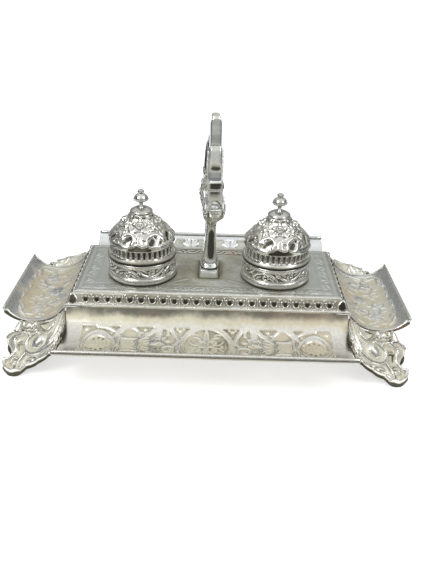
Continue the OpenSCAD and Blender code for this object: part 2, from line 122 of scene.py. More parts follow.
PAPER_SHADE, PAPER_GLOW = (0.62, 0.62, 0.62, 1), (0.6, 0.6, 0.6, 1)
paper, tree, _ = new_material("paper")
tree.nodes.clear()
matte = node(tree, "ShaderNodeBsdfDiffuse", Color=PAPER_SHADE)
glow = node(tree, "ShaderNodeEmission", Strength=sees_backdrop(tree), Color=PAPER_GLOW)
both = node(tree, "ShaderNodeAddShader", (matte.outputs[0], glow.outputs[0]))
node(tree, "ShaderNodeOutputMaterial", Surface=both.outputs[0])


def studio_mesh(name, corners, faces, material):
    """A piece of the studio, from its corners in metres."""
    mesh = bpy.data.meshes.new(name)
    mesh.from_pydata(corners, [], faces)
    mesh.materials.append(material)
    made = placed(name, mesh)
    return made


TABLE = 6.0
studio_mesh("table_sheet", [(-TABLE, -TABLE, 0), (TABLE, -TABLE, 0), (TABLE, TABLE, 0), (-TABLE, TABLE, 0)],
            [(0, 1, 2, 3)], paper)

# The room's light on the stand. Where the room is seen or mirrored it is plain white.
AIR = 0.8
world = bpy.data.worlds.new("white_room")
bpy.context.scene.world = world
world.use_nodes = True
tree = world.node_tree
tree.nodes.clear()
strength = remap(tree, sees_backdrop(tree), start=AIR)
air = node(tree, "ShaderNodeBackground", Strength=strength, Color=(1, 1, 1, 1))
node(tree, "ShaderNodeOutputWorld", Surface=air.outputs[0])


def unseen(made):
    """Keeps a piece of the studio out of everything but reflections."""
    made.visible_camera = False
    made.visible_shadow = False
    made.visible_diffuse = False
    made.visible_transmission = False


def studio_card(name, corners, shade):
    """A flat grey sheet that only reflections show."""
    cloth, tree, shader = new_material(name)
    feed(tree, shader, {"Base Color": (shade, shade, shade, 1), "Roughness": 1})
    unseen(studio_mesh(name, corners, [(0, 1, 2, 3)], cloth))


MIDDLE = Vector((0, 0, 0.07))
BOARD_HALF_WIDE, BOARD_HALF_HIGH = 0.3, 0.22


def board(centre):
    """The corners of an upright board that faces the inkstand."""
    centre = Vector(centre)
    normal = (MIDDLE - centre).normalized()
    side = normal.cross(Vector((0, 0, 1))).normalized() * BOARD_HALF_WIDE
    up = side.cross(normal).normalized() * BOARD_HALF_HIGH
    return [centre - side - up, centre + side - up, centre + side + up, centre - side + up]


GREY, DARK = 0.12, 0.03
studio_card("grey_board_left", board((-0.75, -0.1, 0.5)), GREY)
studio_card("grey_board_right", board((0.75, 0.0, 0.5)), GREY)
NEAR_X, NEAR_Y = 0.172, 0.122
FAR_X, FAR_Y = 0.5, 0.42
for turn in (1, -1):
    a, b, c = NEAR_Y * turn, FAR_Y * turn, FAR_X * turn
    studio_card("dark_sheet_long", [(-c, a, MM), (c, a, MM), (c, b, MM), (-c, b, MM)], DARK)
    a, b, c = NEAR_X * turn, FAR_X * turn, NEAR_Y * turn
    studio_card("dark_sheet_short", [(a, c, MM), (a, -c, MM), (b, -c, MM), (b, c, MM)], DARK)

# The hanging cloth: a ring of folds, dark below, with a pale canopy that leaves a round skylight.
CLOTH_R, CLOTH_LOW, CLOTH_TOP = 1.4, 0.03, 1.36
SKYLIGHT_R, SKYLIGHT_Z = 0.45, 1.9
FOLDS = 60
# How grey the cloth is at shares of the height to the skylight
CLOTH_SHADES = ((0.0, 0.3), (0.15, 0.2), (0.33, 0.27), (0.45, 0.42), (0.6, 0.65))
CLOTH_WARMTH = 0.96
CANOPY_SHADE = (0.85, 0.85, 0.85, 1)
cloth, tree, _ = new_material("hanging_cloth")
place = node(tree, "ShaderNodeTexCoord").outputs["Object"]
up = node(tree, "ShaderNodeSeparateXYZ", (place,)).outputs["Z"]
shades = node(tree, "ShaderNodeValToRGB", (remap(tree, up, CLOTH_LOW, SKYLIGHT_Z),))
for place, shade in CLOTH_SHADES:
    stop = shades.color_ramp.elements.new(place) if place > 0 else shades.color_ramp.elements[0]
    stop.color = (shade, shade, shade * CLOTH_WARMTH, 1)
shades.color_ramp.elements[-1].color = CANOPY_SHADE
glow = node(tree, "ShaderNodeEmission", Color=shades.outputs[0])
feed(tree, tree.nodes["Material Output"], {"Surface": glow.outputs[0]})
folds = np.linspace(0, 2 * math.pi, FOLDS, endpoint=False)
rings = ((CLOTH_R, CLOTH_LOW), (CLOTH_R, CLOTH_TOP), (SKYLIGHT_R, SKYLIGHT_Z))
unseen(studio_mesh("hanging_cloth", [(r * math.cos(a), r * math.sin(a), z) for r, z in rings for a in folds],
                   [(row + k, row + FOLDS + k, row + FOLDS + (k + 1) % FOLDS, row + (k + 1) % FOLDS)
                    for row in (0, FOLDS) for k in range(FOLDS)], cloth))


def lamp(name, place, size, power):
    """A square soft box aimed at the wells."""
    light = bpy.data.lights.new(name, "AREA")
    light.size = size
    light.energy = power
    made = placed(name, light)
    made.location = place
    made.rotation_euler = (Vector((0, 0, 0.06)) - Vector(place)).to_track_quat("-Z", "Y").to_euler()


lamp("key_lamp", (-0.7, -0.6, 1.1), 0.5, 5)
lamp("fill_lamp", (0.8, -0.3, 0.9), 0.6, 3)

# ---- Front and rear trays --------------------------------------------------------------
# The pen trays are rolled from sheet silver, soldered under the moulding and finished with a
# wired lip. A sunk panel of strapwork, leaves and round medallions runs along each of them.
PLATE = 98.0
PLATE_DEEP = 40.35
FILLET = 8.4
TRAY_HALF = 105.2
TRAY_SPAN = 56.15
BOWL_TOP = 35.45
BOWL_DEEP = 12.0
SHEET = 1.2
LIP_RADIUS = 1.6
LIP_Y = 104.9
LIP_Z = 31.7
PANEL_HALF = 92.0
PANEL_HALF_DEEP = 17.7
SUNK = 0.6
TRAY_PITCH = 0.52


class Relief:
    """Sheet metal under the punch: heights in millimetres over a flat pattern, bent to shape later."""

    def __init__(self, u, v):
        self.u, self.v = u, v
        self.height = np.zeros((len(u), len(v)))
        self.ground = 0.0
        self.at, self.spin, self.flip = 0j, 1 + 0j, False

    def on(self, at=0, turn=0, size=1, flip=False):
        """The same sheet seen from a motif's own origin, turned in degrees and maybe mirrored."""
        pen = Relief.__new__(Relief)
        pen.__dict__.update(self.__dict__)
        pen.at = self.move(at)
        spin = size * np.exp(1j * math.radians(turn))
        pen.spin = self.spin * (np.conj(spin) if self.flip else spin)
        pen.flip = self.flip != flip
        return pen

    def halves(self):
        """This origin, and the same mirrored across its middle line."""
        return self.on(), self.on(0, 180, 1, True)

    def move(self, points):
        """The motif's own points as places on the sheet."""
        points = np.asarray(points, complex)
        return self.at + self.spin * (np.conj(points) if self.flip else points)

    def near(self, points, reach):
        """The part of the grid within reach of the points."""
        return tuple(slice(*np.searchsorted(axis, (values.min() - reach, values.max() + reach)))
                     for axis, values in ((self.u, points.real), (self.v, points.imag)))

    def line(self, points, width, height, flat=0.0, way="raise"):
        """A raised rib, or a groove, along a line; width is its half width, one value or one a point."""
        points = np.atleast_1d(self.move(points))
        if len(points) == 1:
            points = np.array([points[0], points[0] + 1e-6])
        widths = np.broadcast_to(np.asarray(width, float), len(points)) * abs(self.spin)
        cover = np.zeros_like(self.height)
        for a, b, wa, wb in zip(points, points[1:], widths, widths[1:]):
            spot = self.near(np.array([a, b]), max(wa, wb))
            here = self.u[spot[0], None] + 1j * self.v[None, spot[1]] - a
            if not here.size:
                continue
            along = b - a
            share = np.clip((here * np.conj(along)).real / abs(along) ** 2, 0, 1)
            off = abs(here - share * along) / np.maximum(wa + share * (wb - wa), 1e-3)
            edge = np.clip((off - flat) / (1 - flat), 0, 1)
            cover[spot] = np.maximum(cover[spot], np.sqrt(1 - edge ** 2))
        spot = self.near(points, widths.max())
        self.apply(cover[spot], spot, height, way)

    def apply(self, cover, spot, height, way):
        """Works a form into the sheet: raised from the ground, added to what is there, or cut in."""
        inside = cover > 0
        before = self.height[spot]
        if way == "raise":
            after = np.where(inside, np.maximum(before, self.ground + cover * height), before)
        elif way == "add":
            after = before + cover * height
        else:
            after = before - cover * height
        self.height[spot] = after

    def ball(self, centre, radius, height, way="raise"):
        """A round boss or dent."""
        self.line([centre], radius, height, 0.0, way)

    def stroke(self, points, widths, height, flat=0.1, way="raise"):
        """A smooth line through points. Its half widths are one value, start and end, or start,
        middle and end."""
        run = bend(points)
        even = np.linspace(widths[0], widths[-1], len(run))
        self.line(run, swell(len(run), *widths) if len(widths) == 3 else even, height, flat, way)

    def fill(self, points, height, way="raise"):
        """A flat patch inside a closed outline."""
        points = self.move(points)
        spot = self.near(points, 0)
        x = self.u[spot[0], None]
        y = self.v[None, spot[1]]
        inside = np.zeros(self.height[spot].shape, bool)
        for a, b in zip(points, np.roll(points, -1)):
            if a.imag != b.imag:
                crosses = (a.imag > y) != (b.imag > y)
                inside ^= crosses & (x < (b.real - a.real) * (y - a.imag) / (b.imag - a.imag) + a.real)
        self.apply(inside.astype(float), spot, height, way)

    def soften(self, times=1):
        """Rounds all the edges a little."""
        self.height[:] = blur(self.height, times)

    def hollow(self, reach=5, depth=0.35, sunk=0.0, spread=0):
        """0 on high, rubbed places and 1 in the corners that a cloth doesn't reach. sunk is added
        all over the lowered ground; spread carries it over the forms that stand on it."""
        around = blur(self.height, reach)
        low = blur(np.clip(self.height / min(self.ground, -0.01), 0, 1), spread)
        return np.clip((around - self.height) / depth + sunk * low, -1, 1)


def blur(field, times=1):
    """Every pass mixes each point with its neighbours."""
    for _ in range(times):
        padded = np.pad(field, 1, mode="edge")
        field = (padded[:-2] + 2 * padded[1:-1] + padded[2:]) / 4
        field = (field[:, :-2] + 2 * field[:, 1:-1] + field[:, 2:]) / 4
    return field


def arc(centre, radius, start, end, steps=16):
    """Points round a centre, from one angle to another in degrees."""
    return centre + radius * np.exp(1j * np.radians(np.linspace(start, end, steps)))


def curl(centre, outer, inner, start, end, steps=22):
    """A volute that winds in towards its eye."""
    share = np.linspace(0, 1, steps)
    radius = outer + (inner - outer) * share
    return centre + radius * np.exp(1j * np.radians(start + (end - start) * share))


def bend(points, steps=6):
    """A smooth line through every point."""
    p = np.array([points[0], *points, points[-1]], complex)
    t = np.linspace(0, 1, steps, endpoint=False)[:, None]
    a, b, c, d = p[:-3], p[1:-2], p[2:-1], p[3:]
    run = 0.5 * (2 * b + (c - a) * t + (2 * a - 5 * b + 4 * c - d) * t ** 2
                 + (3 * b - a - 3 * c + d) * t ** 3)
    return np.append(run.T.ravel(), p[-1])


def swell(count, start, middle, end):
    """Half widths of a stroke that swells and thins again."""
    t = np.linspace(0, 1, count)
    return start * (1 - t) ** 2 + 2 * middle * t * (1 - t) + end * t ** 2 + 0.25 * middle * t * (1 - t)


def leaf(pen, points, width, height, ribs=0):
    """A leaf with a veined middle, from its stalk to its tip."""
    run = bend(points)
    pen.stroke(points, (width * 0.35, width * 1.25, 0.15), height, 0.15)
    pen.line(run[:-3], 0.22, height * 0.45, 0, "cut")
    for k in range(ribs):
        spot = run[int((k + 1) * len(run) / (ribs + 2))]
        ahead = run[int((k + 2) * len(run) / (ribs + 2))] - spot
        for side in (1, -1):
            tip = spot + ahead * 0.7 + side * 1j * ahead / abs(ahead) * width * 0.95
            pen.line([spot, tip], 0.18, height * 0.3, 0, "cut")


def rosette(pen, petals, radius, height, turn=0.0):
    """A flower of round petals about a button."""
    for k in range(petals):
        way = np.exp(1j * (math.radians(turn) + k * 2 * math.pi / petals))
        pen.line([way * radius * 0.42, way * radius * 0.72], [radius * 0.17, radius * 0.3], height, 0.1)
        pen.line([way * radius * 0.4, way * radius * 0.9], radius * 0.06, height * 0.4, 0, "cut")
    pen.ball(0, radius * 0.3, height * 1.25)


def bowl(share, fall):
    """The height of the trough's section, from the moulding's fillet outwards."""
    return BOWL_TOP - fall * share - BOWL_DEEP * (1 - abs(2 * share - 1) ** 2.7)


def trough(span, fall, pitch):
    """Even steps along the trough's section: places (out, up), unit normals and distances."""
    share = np.linspace(0, 1, 2001)
    out, up = span * share, bowl(share, fall)
    run = np.concatenate(([0], np.cumsum(np.hypot(np.diff(out), np.diff(up)))))
    count = int(round(run[-1] / pitch / 4)) * 4 + 1
    even = np.linspace(0, run[-1], count)
    place = np.stack((np.interp(even, run, out), np.interp(even, run, up)), 1)
    ahead = np.gradient(place, axis=0)
    ahead /= np.linalg.norm(ahead, axis=1)[:, None]
    return place, np.stack((-ahead[:, 1], ahead[:, 0]), 1), even


# A sheet's back has every fourth point of its front.
COARSE = 4


def solid(points, faces, hollow, smooth=None):
    """A closed mesh from points in millimetres, with each point's tarnish and painted shade, from 0 where
    it's rubbed bright to 1 and over; smooth is how many of its faces are shaded smooth, all when not given."""
    mesh = bpy.data.meshes.new("solid")
    mesh.from_pydata((np.asarray(points) * MM).tolist(), [], faces)
    count = len(faces) if smooth is None else smooth
    mesh.polygons.foreach_set("use_smooth", np.arange(len(faces)) < count)
    values = mesh.attributes.new("hollow", "FLOAT", "POINT")
    values.data.foreach_set("value", np.broadcast_to(hollow, len(points)).astype(np.float32))
    if volume(mesh) < 0:
        mesh.flip_normals()
    return mesh


def volume(mesh):
    """Six times the enclosed volume, negative where the faces point inwards."""
    mesh.calc_loop_triangles()
    corners = np.empty(len(mesh.vertices) * 3)
    mesh.vertices.foreach_get("co", corners)
    ids = np.empty(len(mesh.loop_triangles) * 3, np.int64)
    mesh.loop_triangles.foreach_get("vertices", ids)
    a, b, c = corners.reshape(-1, 3)[ids].reshape(-1, 3, 3).transpose(1, 0, 2)
    return float((a * np.cross(b, c)).sum())


def quads(grid):
    """The four-sided faces between the rows and columns of a grid of point numbers."""
    return np.stack((grid[:-1, :-1], grid[:-1, 1:], grid[1:, 1:], grid[1:, :-1]), -1).reshape(-1, 4)


def closed_sheet(front, back, hollow, back_painted_shade=0.3):
    """A closed shell: a fine front, a coarse back and rims between. Front and back are grids of points; the
    back and the rims get one value of painted shade.
    """
    behind = back[::COARSE, ::COARSE]
    fine = np.arange(hollow.size).reshape(hollow.shape)
    plain = hollow.size + np.arange(behind[..., 0].size).reshape(behind.shape[:2])
    points = np.concatenate((front.reshape(-1, 3), behind.reshape(-1, 3)))
    faces = quads(fine)[:, [0, 3, 2, 1]].tolist() + quads(plain).tolist()
    broad = len(faces)
    for thin, thick, swap in ((fine[:, 0], plain[:, 0], True), (fine[:, -1], plain[:, -1], False),
                              (fine[0], plain[0], False), (fine[-1], plain[-1], True)):
        for k in range(len(thick) - 1):
            face = [*thin[k * COARSE:(k + 1) * COARSE + 1].tolist(), int(thick[k + 1]), int(thick[k])]
            faces.append(face[::-1] if swap else face)
    return solid(points, faces, np.concatenate((hollow.ravel(), np.full(plain.size, back_painted_shade))), broad)


def loft(points, hollow, closed=False):
    """Rings of points joined into a closed form; closed makes it a ring of rings."""
    rings, sides = points.shape[:2]
    grid = np.arange(rings * sides).reshape(rings, sides)
    faces = quads(np.pad(grid, ((0, int(closed)), (0, 1)), mode="wrap")).tolist()
    if not closed:
        faces += [grid[0].tolist()[::-1], grid[-1].tolist()]
    return solid(points.reshape(-1, 3), faces, hollow.ravel())


def unit_rows(rows):
    """Each row of numbers at length 1."""
    return rows / np.linalg.norm(rows, axis=1)[:, None]


RUBBED = -0.2
DOMED = 0.6


def tube(route, radius, sides=12, under=RUBBED, below=-0.4):
    """A closed round bar along a line of points, with domed ends. radius is one value or one a point;
    under is the painted shade on its lower side, which starts at the height below (-1 to 1)."""
    route = np.asarray(route, float)
    radius = np.broadcast_to(np.asarray(radius, float), len(route)).copy()
    ahead = unit_rows(np.gradient(route, axis=0))
    first, last = ahead[0] * radius[0] * DOMED, ahead[-1] * radius[-1] * DOMED
    start, end = route[0], route[-1]
    route = np.vstack([start - first, start - first * 0.7, route, end + last * 0.7, end + last])
    caps = np.array([0.35, 0.75])
    radius = np.concatenate((radius[0] * caps, radius, radius[-1] * caps[::-1]))
    ahead = np.vstack((ahead[:1], ahead[:1], ahead, ahead[-1:], ahead[-1:]))
    side = unit_rows(np.cross(ahead, (0, 0, 1.0) if abs(ahead[:, 2]).max() < 0.9 else (0, 1.0, 0)))
    up = np.cross(side, ahead)
    turns = np.linspace(0, 2 * math.pi, sides, endpoint=False)
    round_it = side[:, None] * np.cos(turns)[:, None] + up[:, None] * np.sin(turns)[:, None]
    shade = np.tile(np.where(np.sin(turns) < below, under, RUBBED), len(route))
    return loft(route[:, None] + radius[:, None, None] * round_it, shade)


def piece(name, meshes, material):
    """One object from several meshes, at the origin."""
    work = bmesh.new()
    for mesh in meshes:
        work.from_mesh(mesh)
        bpy.data.meshes.remove(mesh)
    mesh = bpy.data.meshes.new(name)
    work.to_mesh(mesh)
    work.free()
    mesh.materials.append(material)
    return placed(name, mesh)


def noise(tree, place, scale, detail, roughness=0.5):
    """Clouds from 0 to 1; a larger scale makes them finer."""
    return node(tree, "ShaderNodeTexNoise", Vector=place, Scale=scale, Detail=detail,
                Roughness=roughness).outputs["Fac"]


def mixed(tree, share, first, second, way="MIX"):
    """A mix of two colours; in a Mix node they are inputs 6 and 7, and the result is output 2."""
    made = node(tree, "ShaderNodeMix", (share,), data_type="RGBA", blend_type=way)
    feed(tree, made, {6: first, 7: second})
    return made.outputs[2]


def sockets(tree, way, **kinds):
    """Adds a group's sockets: each kind names its sockets, in order."""
    for kind, names in kinds.items():
        for name in names.split():
            tree.interface.new_socket(name, in_out=way, socket_type="NodeSocket" + kind)


RUST = (0.55, 0.34, 0.22, 1)


def old_silver_group():
    """Colour, roughness, metal share and fine height of silver that was rubbed on top and left
    yellow and brown in its hollows, and darkened where painted shade is given in its hollow attribute."""
    group = bpy.data.node_groups.new("old_silver", "ShaderNodeTree")
    sockets(group, "INPUT", Color="Bright Patina Dark", Float="Age Gloss Grain Stain")
    sockets(group, "OUTPUT", Color="Color", Float="Roughness Metallic Height")
    given = node(group, "NodeGroupInput").outputs
    place = node(group, "ShaderNodeTexCoord").outputs["Object"]
    hollow = node(group, "ShaderNodeAttribute", attribute_name="hollow").outputs["Fac"]
    # The patina and painted shade mask: the hollow attribute first, spread by a cloudy noise.
    cloud = remap(group, noise(group, place, 38.0, 5.0, 0.62), 0.3, 0.7, -0.25, 0.3)
    aged = combine(group, "ADD", combine(group, "ADD", hollow, cloud), given["Age"])
    soft = remap(group, aged, 0.0, 0.55, kind="SMOOTHSTEP")
    deep = remap(group, aged, 0.55, 1.15, kind="SMOOTHSTEP")
    colour = mixed(group, soft, given["Bright"], given["Patina"])
    colour = mixed(group, deep, colour, given["Dark"])
    # A few warm stains, on tarnished places only.
    blot = remap(group, noise(group, place, 17.0, 3.0), 0.54, 0.7)
    blot = combine(group, "MULTIPLY", combine(group, "MULTIPLY", blot, given["Stain"]), soft)
    colour = mixed(group, blot, colour, RUST)
    speck = noise(group, place, 420.0, 3.0, 0.6)
    colour = mixed(group, 1.0, colour, remap(group, speck, 0.3, 0.75, 1.04, 0.88), "MULTIPLY")
    # Patina is rough, and rubbing leaves fine smears along the stand.
    stretched = node(group, "ShaderNodeMapping", Vector=place, Scale=(40, 900, 900)).outputs[0]
    smear = remap(group, noise(group, stretched, 1.0, 2.0), 0.25, 0.75, -0.05, 0.09)
    rough = combine(group, "ADD", remap(group, soft, end=0.3), given["Gloss"])
    rough = combine(group, "ADD", rough, smear, use_clamp=True)
    metal = remap(group, soft, start=1.0, end=0.45)
    dents = combine(group, "MULTIPLY", noise(group, place, 170.0, 4.0, 0.55), given["Grain"])
    grit = combine(group, "MULTIPLY", speck, given["Grain"])
    height = combine(group, "MULTIPLY_ADD", grit, 0.25, dents)
    node(group, "NodeGroupOutput", Color=colour, Roughness=rough, Metallic=metal, Height=height)
    return group


old_silver = old_silver_group()


def bumped(tree, shader, height, strength, distance):
    """Gives a shader the fine dents of a height."""
    bump = node(tree, "ShaderNodeBump", Height=height, Strength=strength, Distance=distance)
    feed(tree, shader, {"Normal": bump.outputs[0]})


def silver(name, bright, patina, dark, age=0.0, gloss=0.2, grain=0.5, stain=0.0):
    """One finish of the stand's metal."""
    material, tree, shader = new_material(name)
    mix = node(tree, "ShaderNodeGroup", node_tree=old_silver, Bright=(*bright, 1), Patina=(*patina, 1),
               Dark=(*dark, 1), Age=age, Gloss=gloss, Grain=grain, Stain=stain).outputs
    feed(tree, shader, {"Base Color": mix["Color"], **{key: mix[key] for key in ("Roughness", "Metallic")}})
    bumped(tree, shader, mix["Height"], 0.35, 0.0004)
    return material


tray_silver = silver("tray_silver", (0.84, 0.83, 0.77), (0.65, 0.62, 0.48), (0.15, 0.145, 0.115), stain=0.2)
# The rear tray's silver is the tray silver painted bluer and greyer: a painted reflection.
rear_reflection_silver = silver("rear_tray_reflection_silver", (0.84, 0.86, 0.87), (0.62, 0.63, 0.57), (0.16, 0.16, 0.14),
                     stain=0.1)


def medallion(pen):
    """Half of the round medallion: a lily with curled side petals and a small lozenge."""
    top = SUNK * 0.85
    pen.stroke([-3j, 5j, 12j, 16.5j], (0.9, 2.9, 0.5), top, 0.5)
    pen.fill([0.1 + 13.6j, 1.0 + 11.6j, 9.6j, -1.0 + 11.6j], 0.4, "cut")
    for half in pen.halves():
        half.stroke([0.8 + 5j, 3.4 + 7.2j, 6 + 9.4j, 9.2 + 9.9j], (0.8, 1.3, 0.7), top, 0.4)
        half.line(curl(5.6 + 4.2j, 2.4, 0.9, 150, -160), 0.8, top, 0.3)
        half.ball(5.6 + 4.0j, 1.0, top)
        half.stroke([1.5 + 0.2j, 5 + 1.1j, 9.5 + 2.2j, 12.6 + 5.8j], (0.8, 0.8, 0.4), top, 0.4)
        half.ball(11.3 + 0.8j, 1.2, top)
        half.stroke([10 + 12.3j, 8.0 + 12.6j, 6.2 + 11.6j], (0.6,), top, 0.3)


def strapwork(pen):
    """A quarter of the panel beside the medallion, for x and y above nought."""
    top = SUNK
    pen.line(arc(0, 18.8, 0, 90), 2.2, top, 0.75)
    pen.line(arc(0, 19.0, 0, 90), 0.3, 0.3, 0, "cut")
    pen.stroke([26.8 + 18j, 23.4 + 12.5j, 21.6 + 7.5j, 22.4 + 2.6j, 26.8 + 0.3j, 31.4 + 2.0j, 32.8 + 6.0j,
                30.6 + 9.2j], (1.7, 1.0), top, 0.7)
    pen.ball(28.2 + 6.0j, 2.6, top * 1.15)
    for spot, radius in ((19.2 + 15.4j, 1.5), (16.9 + 16.6j, 0.9), (21.4 + 16.6j, 0.9)):
        pen.ball(spot, radius, top)
    pen.fill([27 + 18j, 27.3 + 11j, 29.2 + 10.6j, 29.2 + 16j, 32.4 + 16j, 32.8 + 10.8j, 38 + 8j, 37 + 18j],
             top)
    band = bend([36 + 17.9j, 41 + 13j, 46 + 9j, 51 + 3.5j, 50 + 0j])
    pen.line(band, 1.8, top, 0.7)
    pen.line(band, 0.25, 0.25, 0, "cut")
    for tip, root in ((45 + 7.5j, 30 + 9.6j), (46.4 + 4.6j, 31 + 8j), (46.5 + 1.4j, 33 + 5.4j),
                      (42 + 0.4j, 33.4 + 3.6j)):
        pen.line([root, (root + tip) / 2 + 0.3j, tip], [0.7, 1.6, 0.5], top, 0.4)
        pen.line([root, tip], 0.22, 0.3, 0, "cut")
    for spot in (45.0 + 15.6j, 47.6 + 13.2j, 44.2 + 12.9j):
        pen.ball(spot, 1.3, top)
    pen.line(arc(56.2 + 9.6j, 7.5, -35, 215, 26), 1.25, top, 0.6)
    pen.line([62.8, 63.0 + 3j, 63.4 + 7.3j, 56.4 + 6.7j, 50.2 + 7.3j, 49.9 + 3j, 50.0], 1.15, top * 1.1, 0.6)
    pen.fill([52 + 5.2j, 61.4 + 5.2j, 61.2 - 0.1j, 52 - 0.1j], top * 0.45)
    for run in ([61.5 + 18j, 65 + 13.5j, 67.5 + 8j, 66.5 + 3j, 64.5],
                [61 + 7.5j, 66 + 12.8j, 72 + 16.2j, 80 + 17.4j]):
        pen.stroke(run, (1.3,), top, 0.6)
    pen.ball(70.0 + 12.0j, 1.2, top)
    # The shell's outline and its crest
    pen.stroke([65.6, 68 + 5.5j, 72.6 + 11j, 79.6 + 13.6j, 85.6 + 11.0j, 89.2 + 5.8j, 90.0],
               (1.35,), top * 1.1, 0.5)
    pen.stroke([70.5 + 3.8j, 73.6 + 8.4j, 78.8 + 10.6j, 83.8 + 8.6j, 86.2 + 4.4j],
               (0.5, 3.2, 0.5), top * 1.2, 0.3)
    for spot in (75.2 + 5.6j, 78.6 + 6.8j, 82.0 + 5.6j):
        pen.ball(spot, 1.15, 0.5, "cut")
    for k in range(7):
        pen.line([70 + 2.6 * k + 0j, 71.5 + 2.6 * k + 2.6j], 0.35, 0.35)
    pen.ball(88.0 + 15.0j, 1.7, top)


FAN_PITCH, FANS = 18.5, 5
FAN_LOW, FAN_HIGH = 18.3, 26.6
ODD_FAN, EVEN_FAN = (-46, -29, -11, 11, 29, 46), (-16, 16)


def long_tray_relief(u, run):
    """The whole panel over the flat pattern of a long tray, its tarnish and its painted shade under the
    moulding.
    """
    v = run - run[-1] / 2
    sheet = Relief(u, v)
    corner = PANEL_HALF + 1j * PANEL_HALF_DEEP
    sheet.fill([corner, np.conj(corner), -corner, -np.conj(corner)], SUNK, "cut")
    sheet.ground = -SUNK
    for flip in (False, True):
        for turn in (0, 180):
            strapwork(sheet.on(0, turn, 1, flip))
    for turn in (0, 180):
        medallion(sheet.on(0, turn))
    # Fans of leaves between the panel and the lip
    far = u[-1] - 13.2
    sheet.fill([x + 1j * y for x, y in ((far, FAN_LOW), (far, FAN_HIGH), (-far, FAN_HIGH), (-far, FAN_LOW))],
               SUNK, "cut")
    for k in range(-FANS, FANS + 1):
        for lean in ODD_FAN if k % 2 else EVEN_FAN:
            tip = 10.0 - abs(lean) / 25
            fan = sheet.on(FAN_PITCH * k + 16.6j, 90 - lean)
            fan.line([3.4, tip, tip + 1], [0.4, 1.5, 1.2], SUNK * 1.4, 0.1)
    beyond = (abs(u)[:, None] > PANEL_HALF) | (v[None] < -PANEL_HALF_DEEP) | (abs(v[None] - 18) < 0.3)
    sheet.height[beyond] = 0
    sheet.soften()
    # Painted shade darkens the sheet under the moulding.
    return sheet.height, sheet.hollow(5, 0.35, 0.6, 8) + 1.05 * np.exp(-(run / 9.5) ** 2)


def rolled(chase, half, section, start, side, pitch, order):
    """A tray's closed sheet. chase gives its relief, its tarnish and any painted shade over places along
    it and down its section; order says which axes those are."""
    place, normal, run = trough(*section, pitch)
    u = np.linspace(-half, half, int(round(2 * half / pitch / 4)) * 4 + 1)
    height, shade = chase(u, run)
    layers = []
    for depth in (height, np.full(height.shape, -SHEET)):
        out, up = (place[:, k] + normal[:, k] * depth for k in (0, 1))
        layer = np.broadcast_to(u[:, None], out.shape), side * (start + out), up
        layers.append(np.stack([layer[k] for k in order], -1))
    return closed_sheet(*layers, shade), place


LIP_ENDS = 1.0
for name, side, coat in (("front_tray", -1, tray_silver), ("rear_tray", 1, rear_reflection_silver)):
    shell, _ = rolled(long_tray_relief, TRAY_HALF, (TRAY_SPAN, BOWL_TOP - LIP_Z), PLATE_DEEP + FILLET, side,
                      TRAY_PITCH, (0, 1, 2))
    route = [(x, side * LIP_Y, LIP_Z) for x in np.linspace(-TRAY_HALF + LIP_ENDS, TRAY_HALF - LIP_ENDS, 40)]
    # The wired lip, with painted shade on its lower half.
    made = piece(name + "_sheet", [shell, tube(route, LIP_RADIUS, 16, 1.9, -0.05)], coat)
    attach(made, "stand")
    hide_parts(name)

# ---- Side trays -------------------------------------------------------------------------
# The side trays are shorter, shallower wings of the same sheet. Their middles are chased all
# over with scrolls and flowers, inside a plain rubbed border.
WING_HALF = 47.4
WING_SPAN = 46.5
WING_LIP_X = 152.9
WING_LIP_Z = 32.4
WING_LIP = 0.9
WING_LIP_ENDS = 0.5
WING_FALL = BOWL_TOP - WING_LIP_Z
WIRE, WIRE_SWELL, WIRE_STEP, WIRE_RISE = 0.6, 1.7, 6, 0.35
CHASED = 0.65
WING_PITCH = 0.5
wing_silver = silver("wing_silver", (0.92, 0.94, 0.93), (0.62, 0.59, 0.45), (0.1, 0.09, 0.07),
                     age=0.02, gloss=0.26, grain=0.06, stain=0.3)


def scroll(pen, reach, width, height):
    """An acanthus scroll: a stem that winds round a flower and throws off leaves."""
    stem = np.concatenate((bend([0, reach * (0.35 - 0.28j), reach * (0.75 - 0.2j), reach * (1.02 + 0.1j)]),
                           curl(reach * (0.68 + 0.16j), reach * 0.34, reach * 0.2, -8, 250, 16)))
    pen.line(stem, np.linspace(width, width * 0.45, len(stem)), height, 0.2)
    rosette(pen.on(reach * (0.66 + 0.17j)), 6, reach * 0.17, height)
    for root, way, long in ((0.22 - 0.2j, 60, 0.34), (0.45 - 0.27j, -75, 0.28), (0.72 - 0.22j, -50, 0.3),
                            (1.0 + 0.08j, -15, 0.3), (0.98 + 0.3j, 40, 0.26), (0.34 - 0.22j, 100, 0.3)):
        step = reach * long * np.exp(1j * math.radians(way))
        start = reach * root
        leaf(pen, [start, start + step * (0.5 + 0.12j), start + step], width * 0.95, height * 0.9)


SCROLLS = ((8, 0.34, -4, 1, False, 19), (9, 0.5, 28, 0.9, True, 18), (26, 0.12, 14, 0.62, False, 17),
           (6, 0.12, 2, 0.6, True, 17), (22, 0.62, -30, 0.66, False, 17), (3, 0.62, 10, 0.6, False, 17))
EDGE_LEAVES = ((37.5 + 6j, 100), (38 + 17j, 70), (36.8 + 27j, 110), (37.5 + 36j, 80), (33 + 44j, 150),
               (22 + 46j, 185), (12 + 47j, 170), (30 + 3j, 10), (18 + 2.5j, 170), (6 + 3j, 20),
               (40 + 10j, 80), (41 + 28j, 100), (38 + 41j, 130), (28 + 43j, 175), (4 + 46j, 200))
BERRIES = (41.5 + 9j, 41.8 + 24j, 41.5 + 35j, 15 + 24j, 29 + 25j, 12 + 13j, 20 + 33j)


